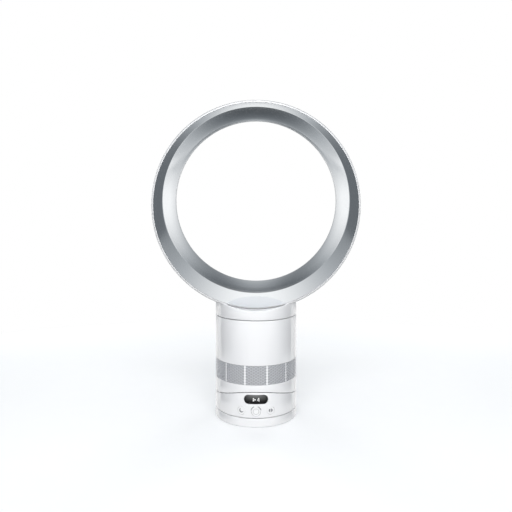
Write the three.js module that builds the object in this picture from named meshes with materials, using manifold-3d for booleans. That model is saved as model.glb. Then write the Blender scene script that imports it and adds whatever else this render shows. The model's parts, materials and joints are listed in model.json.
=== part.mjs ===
// A bladeless desk fan: a round foot, a control drum that turns on it, a body that tilts on the drum, and a hollow
// air loop that twists onto the body. Millimetres, +Z up, front towards -Y, origin under the middle of the foot.

import * as THREE from 'three';
import { mergeVertices } from 'three/addons/utils/BufferGeometryUtils.js';
import Module from 'manifold-3d';

const wasm = await Module();
wasm.setup();

// ---------- Driving dimensions ----------

// Fits
const clearance = 0.3;            // between fixed pieces that seat on each other
const seam = 0.8;                 // shadow gap between outer casings that turn on each other
const wall = 2.6;                 // moulded outer casings
const thinWall = 1.8;             // inner air guides

// Body
const bodyRadius = 71;
const intakeBottom = 69.2;        // height of the perforated band above the table
const intakeHeight = 32;
const bodyTop = 175.1;

// Foot
const footHeight = 14.7;
const footEdge = 2.4;             // rounding under the foot
const padWidth = 16;              // rubber ring underneath
const padMargin = 2.4;            // bare rim of the base plate outside it
const padHeight = 2.2;
const plateThickness = 2;
const glideHeight = 2.8;          // low-friction ring that the drum turns on
const glideWidth = 6.4;
const screwRadius = 2.6;          // heads of the screws that hold the fixed gear
const screwCircle = 18.2;
const screwCount = 4;
const inletWidth = 17;            // power inlet at the back of the foot
const inletHeight = 6.4;
const inletDepth = 12.5;
const inletBore = 2.3;

// Swivel
const postRadius = 9.5;
const postBore = 6.5;
const postFlange = 14;
const deckThickness = 2.2;        // floor of the control drum
const hubHeight = 2;
const hubWall = 3.1;
const clipThickness = 1.5;
const clipGroove = 0.9;
const gearModule = 2;
const gearTeeth = 24;
const pinionTeeth = 8;
const gearWidth = 6.2;
const gearBacklash = 0.45;        // added to the distance between the gear centres
const swingMotorRadius = 14;
const swingMotorHeight = 14.4;
const swingShaftRadius = 2.4;

// Tilt: the drum's rim and the body's lower edge lie on one cylinder about a level axis
const tiltRadius = 168;
const drumSideHeight = 42;         // lowest point of the drum's rim, at its two sides
const tiltSeam = 1.2;
const carriageThickness = 2.6;
const cradleThickness = 2.5;
const railSpacing = 56;           // between the inner faces of the two rails
const railWeb = 2;
const railFlange = 6;
const railThickness = 1.4;
const hookLength = 46;
const railRunning = 0.6;          // running gap between rail and hook
const cradleMargin = 8.4;         // from the drum's wall to the cradle
const cradlePostRadius = 3.2;
const cradlePostPlace = 35;
const wireHole = 9;

// Controls
const displayWidth = 40;
const displayHeight = 14.7;
const displayDrop = 3.93;         // from the drum's rim down to the window
const powerRadius = 7.5;
const powerDrop = 4.95;           // from the window down to the large button
const sideButtonRadius = 6.5;
const sideButtonRise = 0.7;       // small buttons above the large one, middle to middle
const sideButtonAngle = 20;
const buttonGap = 0.35;
const buttonTravel = 1.2;
const flangeLip = 1;
const flangeThickness = 1.4;
const boardThickness = 1.5;
const boardAngle = 27;
const boardTop = 50;
const switchRadius = 3;

// Intake grille
const grilleThickness = 2;
const grillePanels = 12;
const grilleColumns = 3;
const grilleRows = 2;
const grilleHoleRadius = 4.8;
const spigotHeight = 2.4;

// Air path
const ledgeDrop = 39.1;           // from the body's top down to the shelf that carries the motor unit
const ledgeWidth = 5;
const mountHeight = 4;            // rubber ring on the shelf
const mouthDrop = 2.5;            // from the impeller's eye down to the air guide's mouth
const shroudThroat = 44.5;
const shroudMargin = 7.9;         // from the body's wall to the air guide's exit
const shroudFlange = 2;
const guideRun = 2;               // straight end of the air guide above the impeller
const impellerHeight = 32;
const impellerGap = 1.6;          // blade shroud to air guide
const impellerNose = 8;
const impellerBlades = 7;
const bladeThickness = 1.5;
const bladeWrap = 48;             // degrees from eye to exit
const diffuserHeight = 20;
const diffuserVanes = 8;
const vaneThickness = 1.6;
const vaneWrap = 18;
const vaneStart = 2.2;             // keeps each vane's root on one facet of the sleeve
const passageWidth = 18.8;        // ring-shaped air way round the motor
const splitDrop = 1.3;            // from the diffuser's top down to the motor bucket's parting line
const capHeight = 19;
const shaftRadius = 3;
const rotorRadius = 9.8;
const airGap = 0.7;
const statorSlots = 6;
const statorHeight = 10;
const bearingRadius = 7.5;
const bearingHeight = 4;
const foamThickness = 3;
const foamGap = 9.9;              // bare wall between the air guide's flange and the foam

// Twist lock of the loop
const spigotRise = 6.4;
const lugCount = 3;
const lugAngle = 16;              // degrees covered by each lug
const lugThickness = 1.9;
const lugReach = 1.4;
const sealHeight = 1.2;

// Loop: the opening and the front crest share one axis, the outer casing sits a little lower
const loopRadius = 179.5;
const loopSection = 38.7;         // across the ring, from the outside to the throat
const saddleDepth = 4.5;          // how far the loop sinks into the neck
const neckRise = 15.1;            // front ledge above the neck's lower edge
const loopOffset = 7.9;
const throatPlace = -10;          // along Y
const crestStep = 13.2;           // front crest, outside the throat
const crestPlace = -62.8;
const crestRound = 0.9;
const edgeInset = 6.7;            // where the front nozzle meets the casing
const edgePlace = -48;
const casingFront = -26;
const casingCurl = -88;           // degrees through which the casing's front edge turns in
const backInset = 21.5;           // crown of the rounded back
const backPlace = 50;
const lipStep = 3.1;              // rear lip of the air slot, outside the throat
const lipPlace = 14;
const slotWidth = 2.2;
const slotOverlap = 8;
const loopWall = 2.2;
const neckDuctWidth = 78;
const neckDuctDepth = 52;

// Facets
const casingFacets = 36;
const innerFacets = 16;
const smallFacets = 10;
const loopFacets = 36;
const saddleFacets = 72;

// ---------- Sizes that follow ----------

const drumBottom = footHeight + seam;
const deckTop = drumBottom + deckThickness;
const innerRadius = bodyRadius - wall;
const innerFit = clearance + 0.05;   // what nests inside the casings has fewer facets, so a little more room
const plateBottom = padHeight + clearance;
const plateTop = plateBottom + plateThickness;
const plateRadius = innerRadius - 2;
const padOuter = plateRadius - padMargin;
const padInner = padOuter - padWidth;
const cradleReach = innerRadius - cradleMargin;
const glideTop = drumBottom - clearance;
const glideBottom = glideTop - glideHeight;
const intakeTop = intakeBottom + intakeHeight;
const neckBottom = bodyTop + seam;
const tiltAxisHeight = drumSideHeight + tiltRadius + tiltSeam / 2;
const drumRim = tiltAxisHeight - Math.sqrt((tiltRadius + tiltSeam / 2) ** 2 - bodyRadius ** 2);
const displayMiddle = drumRim - displayDrop - displayHeight / 2;
const powerMiddle = displayMiddle - displayHeight / 2 - powerDrop - powerRadius;
const sideButtonMiddle = powerMiddle + sideButtonRise;
const shroudExit = innerRadius - shroudMargin;
const bucketRadius = shroudExit - passageWidth - thinWall - clearance;
const impellerHub = bucketRadius + thinWall + 2 * clearance;
const ledgeHeight = bodyTop - ledgeDrop;
const impellerEye = ledgeHeight - impellerHeight;
const shroudMouth = impellerEye - mouthDrop;
const guideTop = ledgeHeight + guideRun;
const ductLow = guideTop + clearance;
const bucketSplit = ductLow + diffuserHeight - splitDrop;
const bucketTop = bucketSplit + capHeight;
const throatRadius = loopRadius - loopSection;
const crestRadius = throatRadius + crestStep;
const lipRadius = throatRadius + lipStep;
const edgeRadius = loopRadius - edgeInset;
const backRadius = loopRadius - backInset;
const saddleRadius = loopRadius - saddleDepth;
const casingAxisHeight = neckBottom + neckRise + saddleRadius;
const throatAxisHeight = casingAxisHeight + loopOffset;
const gearRadius = gearModule * gearTeeth / 2;
const pinionRadius = gearModule * pinionTeeth / 2;
const pinionPlace = gearRadius + pinionRadius + gearBacklash;
const radians = THREE.MathUtils.degToRad;

// ---------- Solids ----------

// A closed three.js geometry as a solid with outward faces.
function solid(geometry) {
  const bare = geometry.index ? geometry.toNonIndexed() : geometry.clone();
  for (const name of Object.keys(bare.attributes)) if (name !== 'position') bare.deleteAttribute(name);
  const merged = mergeVertices(bare, 1e-4);
  const corner = (i) => new THREE.Vector3().fromBufferAttribute(merged.attributes.position, i);
  const index = merged.index.array;
  const triangles = [];
  let volume = 0;
  for (let i = 0; i < index.length; i += 3) {
    const [a, b, c] = [index[i], index[i + 1], index[i + 2]];
    if (a === b || b === c || c === a) continue;
    triangles.push([a, b, c]);
    volume += corner(a).dot(corner(b).cross(corner(c)));
  }
  const outward = volume < 0 ? triangles.map(([a, b, c]) => [a, c, b]) : triangles;
  return new wasm.Manifold(new wasm.Mesh({
    numProp: 3,
    vertProperties: new Float32Array(merged.attributes.position.array),
    triVerts: new Uint32Array(outward.flat()),
  }));
}

const cut = (body, ...tools) => tools.reduce((rest, tool) => rest.subtract(tool), body);
const join = (body, ...others) => others.reduce((sum, other) => sum.add(other), body);

// A ring or disc turned about Z from a profile of [radius, height] corners.
function turned(profile, facets = innerFacets) {
  const corners = profile.map(([radius, height]) => new THREE.Vector2(radius, height));
  if (corners[0].x > 0 || corners.at(-1).x > 0) corners.push(corners[0].clone());
  return new THREE.LatheGeometry(corners, facets).rotateX(Math.PI / 2);
}

const disc = (radius, low, high, facets) => turned([[0, low], [radius, low], [radius, high], [0, high]], facets);

function tube(outer, inner, low, high, facets) {
  return turned([[inner, low], [outer, low], [outer, high], [inner, high]], facets);
}

function block(xLow, xHigh, yLow, yHigh, zLow, zHigh) {
  return new THREE.BoxGeometry(xHigh - xLow, yHigh - yLow, zHigh - zLow)
    .translate((xLow + xHigh) / 2, (yLow + yHigh) / 2, (zLow + zHigh) / 2);
}

// A round bar along Y, from the front point to the back point.
function barAlongY(radius, x, z, yLow, yHigh, facets = smallFacets) {
  return new THREE.CylinderGeometry(radius, radius, yHigh - yLow, facets).translate(x, (yLow + yHigh) / 2, z);
}

// A ring about the level tilt axis, given by its radii there and its reach along X.
function tiltRing(inner, outer, xLow, xHigh) {
  const corners = [[inner, xLow], [outer, xLow], [outer, xHigh], [inner, xHigh], [inner, xLow]];
  return new THREE.LatheGeometry(corners.map(([radius, x]) => new THREE.Vector2(radius, x)), saddleFacets)
    .rotateZ(-Math.PI / 2).translate(0, 0, tiltAxisHeight);
}

// A full bar about the tilt axis.
function tiltBar(radius, reach) {
  return new THREE.CylinderGeometry(radius, radius, 2 * reach, saddleFacets)
    .rotateZ(Math.PI / 2).translate(0, 0, tiltAxisHeight);
}

// Sections of equal corner count joined into a closed body with flat ends.
function loft(sections) {
  const count = sections[0].length;
  const triangles = [];
  for (let i = 1; i < sections.length; i++) {
    for (let j = 0; j < count; j++) {
      const k = (j + 1) % count;
      triangles.push(sections[i - 1][j], sections[i - 1][k], sections[i][k]);
      triangles.push(sections[i - 1][j], sections[i][k], sections[i][j]);
    }
  }
  for (let j = 2; j < count; j++) {
    triangles.push(sections[0][0], sections[0][j], sections[0][j - 1]);
    triangles.push(sections.at(-1)[0], sections.at(-1)[j - 1], sections.at(-1)[j]);
  }
  return new THREE.BufferGeometry().setFromPoints(triangles);
}

// ---------- Materials ----------

const finish = (color, roughness, metalness = 0) => ({ color, roughness, metalness });
const white = finish(0xf1f2f4, 0.22);
const silver = finish(0xaab0b6, 0.3, 0.85);
const black = finish(0x0b0c0d, 0.12);
const rubber = finish(0x2a2b2d, 0.85);
const darkPlastic = finish(0x3a3d40, 0.55);
const paleNylon = finish(0xd9d7cf, 0.5);
const steel = finish(0xb8bbbe, 0.35, 1);
const copper = finish(0xb06a3a, 0.4, 1);
const boardGreen = finish(0x1f5a3a, 0.5);
const foamGrey = finish(0x55585c, 1);

const fan = new THREE.Group();

function add(name, body, look) {
  const shape = body instanceof THREE.BufferGeometry ? solid(body) : body;
  const { vertProperties, triVerts } = shape.getMesh();
  const geometry = new THREE.BufferGeometry();
  geometry.setAttribute('position', new THREE.BufferAttribute(new Float32Array(vertProperties), 3));
  geometry.setIndex(new THREE.BufferAttribute(new Uint32Array(triVerts), 1));
  const mesh = new THREE.Mesh(geometry, new THREE.MeshStandardMaterial(look));
  mesh.name = name;
  fan.add(mesh);
}

// ---------- Foot ----------

function gearShape(teeth, bore) {
  const pitch = gearModule * teeth / 2;
  const shape = new THREE.Shape();
  const step = 2 * Math.PI / teeth;
  const flank = [[-0.30, -1.2], [-0.13, 0.85], [0.13, 0.85], [0.30, -1.2]];
  for (let tooth = 0; tooth < teeth; tooth++) {
    for (const [share, rise] of flank) {
      const angle = (tooth + share) * step;
      const radius = pitch + rise * gearModule;
      const method = shape.curves.length || tooth || share > -0.3 ? 'lineTo' : 'moveTo';
      shape[method](radius * Math.cos(angle), radius * Math.sin(angle));
    }
  }
  shape.closePath();
  if (bore) shape.holes.push(new THREE.Path().absarc(0, 0, bore, 0, 2 * Math.PI, true));
  return shape;
}

const gearSolid = (shape, low) => new THREE.ExtrudeGeometry(
  shape, { depth: gearWidth, bevelEnabled: false, curveSegments: smallFacets }).translate(0, 0, low);

function addFoot() {
  const round = footEdge / Math.SQRT2;
  const skirt = turned([
    [plateRadius + clearance, footEdge / 2], [bodyRadius - footEdge, footEdge / 2],
    [bodyRadius - footEdge + round, footEdge / 2 + footEdge - round],
    [bodyRadius, footEdge * 1.5], [bodyRadius, footHeight - 0.4], [bodyRadius - 0.4, footHeight],
    [plateRadius + clearance, footHeight],
  ], casingFacets);
  const inletLow = plateTop + clearance;
  const inletHigh = inletLow + inletHeight;
  const half = inletWidth / 2;
  const bay = block(-half - clearance, half + clearance, bodyRadius - inletDepth - clearance - 2, bodyRadius + 1,
    inletLow - clearance, inletHigh + clearance);
  add('foot_skirt', cut(solid(skirt), solid(bay)), white);

  const rimInner = plateRadius - glideWidth;
  const screwPlaces = Array.from({ length: screwCount }, (_, i) => {
    const angle = Math.PI / 4 + i * 2 * Math.PI / screwCount;
    return [screwCircle * Math.cos(angle), screwCircle * Math.sin(angle)];
  });
  const plate = turned([
    [postBore, plateBottom], [plateRadius, plateBottom], [plateRadius, glideBottom - clearance],
    [rimInner, glideBottom - clearance], [rimInner, plateTop], [postBore, plateTop],
  ], casingFacets);
  const holes = screwPlaces.map(([x, y]) => solid(
    disc(screwRadius / 2 + clearance, plateBottom - 1, plateTop + gearWidth, 8).translate(x, y, 0)));
  const bayInPlate = block(-half - clearance, half + clearance, bodyRadius - inletDepth - clearance, bodyRadius,
    inletLow - clearance, glideTop);
  add('base_plate', cut(solid(plate), solid(bayInPlate), ...holes), darkPlastic);

  add('foot_pad', tube(padOuter, padInner, 0, padHeight, casingFacets), rubber);
  screwPlaces.forEach(([x, y], i) => {
    const screw = turned([
      [0, plateBottom - clearance - 1.4], [screwRadius, plateBottom - clearance - 1.4],
      [screwRadius, plateBottom - clearance], [screwRadius / 2, plateBottom - clearance],
      [screwRadius / 2, plateTop + gearWidth / 2], [0, plateTop + gearWidth / 2],
    ], 8).translate(x, y, 0);
    add(`gear_screw_${i + 1}`, screw, steel);
  });

  add('glide_ring', tube(plateRadius, rimInner, glideBottom, glideTop), paleNylon);

  const inletPlace = bodyRadius - 0.6;
  const inlet = solid(block(-half, half, inletPlace - inletDepth, inletPlace, inletLow, inletHigh));
  const middle = (inletLow + inletHigh) / 2;
  const socket = solid(barAlongY(inletBore, 0, middle, inletPlace - 9, inletPlace + 1));
  const pin = solid(barAlongY(inletBore / 3, 0, middle, inletPlace - 10, inletPlace - 2, 8));
  add('power_inlet', join(cut(inlet, socket), pin), black);

  const low = plateTop + clearance;
  const flangeTop = low + 2;
  const grooveLow = deckTop + hubHeight + 0.2;
  const grooveHigh = grooveLow + clipThickness + 0.4;
  add('pivot_post', turned([
    [postBore, low], [postFlange, low], [postFlange, flangeTop], [postRadius, flangeTop],
    [postRadius, grooveLow], [postRadius - clipGroove, grooveLow], [postRadius - clipGroove, grooveHigh],
    [postRadius, grooveHigh], [postRadius, grooveHigh + 2], [postBore, grooveHigh + 2],
  ]), steel);
  const clip = tube(postRadius + hubWall, postRadius - clipGroove + clearance, grooveLow + 0.2,
    grooveLow + 0.2 + clipThickness);
  const mouth = block(0, postRadius + hubWall + 1, -3, 3, grooveLow - 1, grooveHigh + 1);
  add('swivel_clip', cut(solid(clip), solid(mouth)), steel);
  const gear = solid(gearSolid(gearShape(gearTeeth, postFlange + clearance), low));
  add('swivel_gear', cut(gear, ...holes), paleNylon);
}

// ---------- Control drum ----------

// A cap that fills an opening in the drum wall, with a lip behind the wall; outline is drawn flat at x, z.
function wallCap(outline, lipOutline, angle, outerFace) {
  const reach = { depth: bodyRadius, bevelEnabled: false, curveSegments: 6 };
  const aim = (shape) => solid(new THREE.ExtrudeGeometry(shape, reach).rotateX(Math.PI / 2).rotateZ(radians(angle)));
  const lipOuter = innerRadius - clearance;
  const lipInner = lipOuter - flangeThickness;
  const face = aim(outline).intersect(solid(tube(outerFace, lipInner, 0, tiltRadius, casingFacets)));
  const lip = aim(lipOutline).intersect(solid(tube(lipOuter, lipInner, 0, tiltRadius, casingFacets)));
  return join(face, lip);
}

function pill(width, height, middle) {
  const shape = new THREE.Shape();
  const radius = height / 2;
  const straight = width / 2 - radius;
  shape.absarc(straight, middle, radius, -Math.PI / 2, Math.PI / 2);
  shape.absarc(-straight, middle, radius, Math.PI / 2, 3 * Math.PI / 2);
  shape.closePath();
  return shape;
}

const round = (radius, middle) => new THREE.Shape().absarc(0, middle, radius, 0, 2 * Math.PI);

function wallHole(outline, angle) {
  const reach = { depth: bodyRadius + 5, bevelEnabled: false, curveSegments: 6 };
  const bar = new THREE.ExtrudeGeometry(outline, reach).rotateX(Math.PI / 2).rotateZ(radians(angle));
  return solid(bar).subtract(solid(disc(bodyRadius / 2, 0, tiltRadius)));
}

const buttons = [
  ['power_button', powerRadius, powerMiddle, 0],
  ['night_button', sideButtonRadius, sideButtonMiddle, -sideButtonAngle],
  ['swing_button', sideButtonRadius, sideButtonMiddle, sideButtonAngle],
];

function addDrum() {
  const top = tiltAxisHeight - tiltRadius + bodyRadius;
  const hubRadius = postRadius + clearance;
  const shell = solid(turned([
    [hubRadius, drumBottom], [bodyRadius, drumBottom], [bodyRadius, top], [innerRadius, top],
    [innerRadius, deckTop], [hubRadius + hubWall, deckTop], [hubRadius + hubWall, deckTop + hubHeight],
    [hubRadius, deckTop + hubHeight],
  ], casingFacets));
  const shaftHole = disc(swingShaftRadius + clearance, 0, deckTop + 1, smallFacets).translate(0, pinionPlace, 0);
  const openings = buttons.map(([, radius, middle, angle]) => wallHole(round(radius + buttonGap, middle), angle));
  const windowHole = wallHole(pill(displayWidth + 2 * clearance, displayHeight + 2 * clearance, displayMiddle), 0);
  const above = tiltBar(tiltRadius + tiltSeam / 2, bodyRadius + 5);
  add('control_drum', cut(shell, solid(above), solid(shaftHole), windowHole, ...openings), white);

  const lipPill = pill(displayWidth + 2 * flangeLip, displayHeight + 2 * flangeLip, displayMiddle);
  add('display_window', wallCap(pill(displayWidth, displayHeight, displayMiddle), lipPill, 0, bodyRadius - 0.1),
    black);
  for (const [name, radius, middle, angle] of buttons) {
    add(name, wallCap(round(radius, middle), round(radius + flangeLip, middle), angle, bodyRadius), white);
  }

  const lipInner = innerRadius - clearance - flangeThickness;
  const switchTop = lipInner - buttonTravel - clearance;
  const boardOuter = switchTop - 1.6;
  const boardInner = boardOuter - boardThickness;
  const wedge = new THREE.Shape([[0, 0], [-1, 1], [1, 1]].map(([x, y]) => new THREE.Vector2(
    x * bodyRadius * Math.tan(radians(boardAngle)), -y * bodyRadius)));
  const wedgeSolid = solid(new THREE.ExtrudeGeometry(wedge, { depth: tiltRadius, bevelEnabled: false }));
  const plate = solid(tube(boardOuter, boardInner, deckTop + clearance, boardTop, casingFacets));
  const towardsFront = (outline, angle, face) => wallCapCore(outline, angle, boardInner + 0.5, face);
  const switches = buttons.map(([, , middle, angle]) => towardsFront(round(switchRadius, middle), angle, switchTop));
  const screen = towardsFront(pill(displayWidth - 8, displayHeight - 5, displayMiddle - 1), 0,
    lipInner - clearance);
  add('control_board', join(plate.intersect(wedgeSolid), screen, ...switches), boardGreen);

  const motorLow = deckTop + clearance;
  const motor = solid(disc(swingMotorRadius, motorLow, motorLow + swingMotorHeight).translate(0, pinionPlace, 0));
  const ears = solid(block(-swingMotorRadius - 6, swingMotorRadius + 6, pinionPlace - 4, pinionPlace + 4,
    motorLow, motorLow + 1.5));
  const motorShaftHole = disc(swingShaftRadius + clearance, 0, motorLow + 6, smallFacets)
    .translate(0, pinionPlace, 0);
  add('swing_motor', cut(join(motor, ears), solid(motorShaftHole)), steel);

  const pinionLow = plateTop + clearance + 1;
  const pinion = new THREE.ExtrudeGeometry(gearShape(pinionTeeth),
    { depth: gearWidth, bevelEnabled: false }).rotateZ(Math.PI / 2 + Math.PI / pinionTeeth)
    .translate(0, pinionPlace, pinionLow);
  const pinionShaft = disc(swingShaftRadius, pinionLow + gearWidth - 1, motorLow + 5, smallFacets)
    .translate(0, pinionPlace, 0);
  add('swing_pinion', join(solid(pinion), solid(pinionShaft)), paleNylon);
}

// The part of a bar aimed from the drum's axis that lies between two radii.
function wallCapCore(outline, angle, inner, outer) {
  const reach = { depth: bodyRadius, bevelEnabled: false, curveSegments: 4 };
  const bar = new THREE.ExtrudeGeometry(outline, reach).rotateX(Math.PI / 2).rotateZ(radians(angle));
  return solid(bar).intersect(solid(tube(outer, inner, 0, tiltRadius, casingFacets)));
}

// ---------- Tilt slide ----------

const railTop = tiltRadius + tiltSeam / 2 + 0.4;

function addTiltSlide() {
  const railInner = railSpacing / 2;
  const flangeBottom = railTop + railThickness;
  const hookTop = flangeBottom + railRunning;
  const hookBottom = hookTop + railThickness;
  const cradleTop = hookBottom + railRunning + 0.3;
  const cradleBottom = cradleTop + cradleThickness;
  const within = solid(disc(cradleReach, 0, tiltAxisHeight));
  const plate = solid(tiltRing(cradleTop, cradleBottom, -cradleReach - 1, cradleReach + 1)).intersect(within);
  const rails = [-1, 1].flatMap((side) => {
    const web = [side * railInner, side * (railInner + railWeb)].sort((a, b) => a - b);
    const flange = [side * railInner, side * (railInner + railFlange)].sort((a, b) => a - b);
    return [
      solid(tiltRing(flangeBottom - 0.4, cradleTop + 0.5, ...web)).intersect(within),
      solid(tiltRing(railTop, flangeBottom, ...flange)).intersect(within),
    ];
  });
  const underside = solid(tiltBar((cradleTop + cradleBottom) / 2, bodyRadius));
  const posts = [[1, 1], [1, -1], [-1, 1], [-1, -1]].map(([x, y]) => solid(disc(cradlePostRadius,
    deckTop + clearance, tiltAxisHeight / 2, 8).translate(x * cradlePostPlace, y * cradlePostPlace, 0))
    .subtract(underside));
  const hole = solid(disc(wireHole, 0, tiltAxisHeight, smallFacets));
  add('tilt_cradle', cut(join(plate, ...rails, ...posts), hole), darkPlastic);

  const carriageBottom = tiltRadius - tiltSeam;
  const carriageTop = carriageBottom - carriageThickness;
  const inside = solid(disc(innerRadius - innerFit, 0, tiltAxisHeight, casingFacets));
  const carriage = solid(tiltRing(carriageTop, carriageBottom, -bodyRadius, bodyRadius)).intersect(inside);
  const span = solid(block(-bodyRadius, bodyRadius, -hookLength / 2, hookLength / 2, 0, tiltAxisHeight));
  const gap = railInner + railFlange + railRunning;
  const hooks = [-1, 1].flatMap((side) => {
    const web = [side * gap, side * (gap + railWeb)].sort((a, b) => a - b);
    const flange = [side * (railInner + railWeb + railRunning), side * (gap + railWeb)].sort((a, b) => a - b);
    return [
      solid(tiltRing(carriageBottom - 0.5, hookBottom, ...web)).intersect(span),
      solid(tiltRing(hookTop, hookBottom, ...flange)).intersect(span),
    ];
  });
  add('tilt_carriage', cut(join(carriage, ...hooks), hole), darkPlastic);
}

// ---------- Body ----------

function addBody() {
  const spigotOuter = bodyRadius - grilleThickness - clearance;
  const spigotInner = spigotOuter - thinWall;
  const skirtTop = intakeBottom - clearance / 2;
  const skirt = solid(turned([
    [innerRadius, tiltAxisHeight - tiltRadius], [bodyRadius, tiltAxisHeight - tiltRadius],
    [bodyRadius, skirtTop], [spigotOuter, skirtTop], [spigotOuter, skirtTop + spigotHeight],
    [spigotInner, skirtTop + spigotHeight], [spigotInner, skirtTop - 2], [innerRadius, skirtTop - 3],
  ], casingFacets));
  const above = solid(tiltBar(tiltRadius - tiltSeam / 2, bodyRadius + 5));
  add('body_skirt', skirt.intersect(above), white);

  const grilleLow = intakeBottom + clearance / 2;
  const grilleHigh = intakeTop - clearance / 2;
  const facets = grillePanels * grilleColumns;
  const panelStep = 2 * Math.PI / grillePanels;
  const grille = solid(tube(bodyRadius, bodyRadius - grilleThickness, grilleLow, grilleHigh, facets)
    .rotateZ(panelStep / 2));
  const rowStep = (intakeHeight - 2 * spigotHeight) / (grilleRows + 0.5);
  const columnStep = panelStep / grilleColumns;
  const holes = [];
  for (let panel = 0; panel < grillePanels; panel++) {
    for (let column = 0; column < grilleColumns; column++) {
      const angle = panelStep * panel + (column - (grilleColumns - 1) / 2) * columnStep;
      const stagger = (column % 2 - 0.5) * rowStep / 2;
      for (let row = 0; row < grilleRows; row++) {
        const height = intakeBottom + intakeHeight / 2 + (row - (grilleRows - 1) / 2) * rowStep + stagger;
        holes.push(solid(new THREE.CylinderGeometry(grilleHoleRadius, grilleHoleRadius, 10, 4)
          .translate(0, bodyRadius, height).rotateZ(angle)));
      }
    }
  }
  add('intake_grille', cut(grille, ...holes), white);

  const shoulder = bodyTop - wall;
  const topSpigot = innerRadius - clearance - lugReach;
  const housing = solid(turned([
    [spigotInner, intakeTop - spigotHeight], [spigotOuter, intakeTop - spigotHeight],
    [spigotOuter, intakeTop + clearance / 2], [bodyRadius, intakeTop + clearance / 2], [bodyRadius, bodyTop],
    [topSpigot, bodyTop], [topSpigot, bodyTop + spigotRise], [topSpigot - thinWall, bodyTop + spigotRise],
    [topSpigot - thinWall, shoulder], [innerRadius, shoulder], [innerRadius, ledgeHeight],
    [innerRadius - ledgeWidth, ledgeHeight], [innerRadius - ledgeWidth, ledgeHeight - 2],
    [innerRadius, ledgeHeight - 2 - ledgeWidth], [innerRadius, intakeTop + 3],
  ], casingFacets));
  const lugTop = bodyTop + spigotRise;
  add('upper_housing', join(housing, ...lugs(topSpigot - 0.5, topSpigot + lugReach, lugTop - lugThickness, lugTop)),
    white);
}

// Bayonet lugs: short arcs between two radii, evenly spaced.
function lugs(inner, outer, low, high) {
  return Array.from({ length: lugCount }, (_, i) => {
    const start = i * 2 * Math.PI / lugCount;
    const arc = new THREE.Shape();
    arc.absarc(0, 0, outer, start, start + radians(lugAngle), false);
    arc.absarc(0, 0, inner, start + radians(lugAngle), start, true);
    arc.closePath();
    const depth = high - low;
    return solid(new THREE.ExtrudeGeometry(arc, { depth, bevelEnabled: false, curveSegments: 2 })
      .translate(0, 0, low));
  });
}

// ---------- Motor unit ----------

// The air guide's inner wall: narrow at the impeller's eye and wide at its exit.
function guideRadius(share) {
  return shroudThroat + (shroudExit - shroudThroat) * share ** 1.3;
}

function hubRadiusAt(share) {
  return impellerNose + (impellerHub - impellerNose) * share ** 0.9;
}

const impellerAt = (share) => impellerEye + impellerHeight * share;
const tipRadiusAt = (share) => guideRadius(share) - impellerGap - bladeThickness;
const shares = (count) => Array.from({ length: count + 1 }, (_, i) => i / count);

// One guide vane between two walls, swept by an angle as it rises.
function vane(innerAt, outerAt, heightAt, thickness, wrap, steps) {
  return loft(shares(steps).map((share) => {
    const angle = radians(wrap) * share;
    return [[innerAt, -1], [innerAt, 1], [outerAt, 1], [outerAt, -1]].map(([radiusAt, side]) => {
      const radius = radiusAt(share);
      const turn = angle + side * thickness / 2 / radius;
      return new THREE.Vector3(radius * Math.cos(turn), radius * Math.sin(turn), heightAt(share));
    });
  }));
}

const around = (count, make) => Array.from({ length: count }, (_, i) => solid(
  make().rotateZ(i * 2 * Math.PI / count)));

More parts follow.
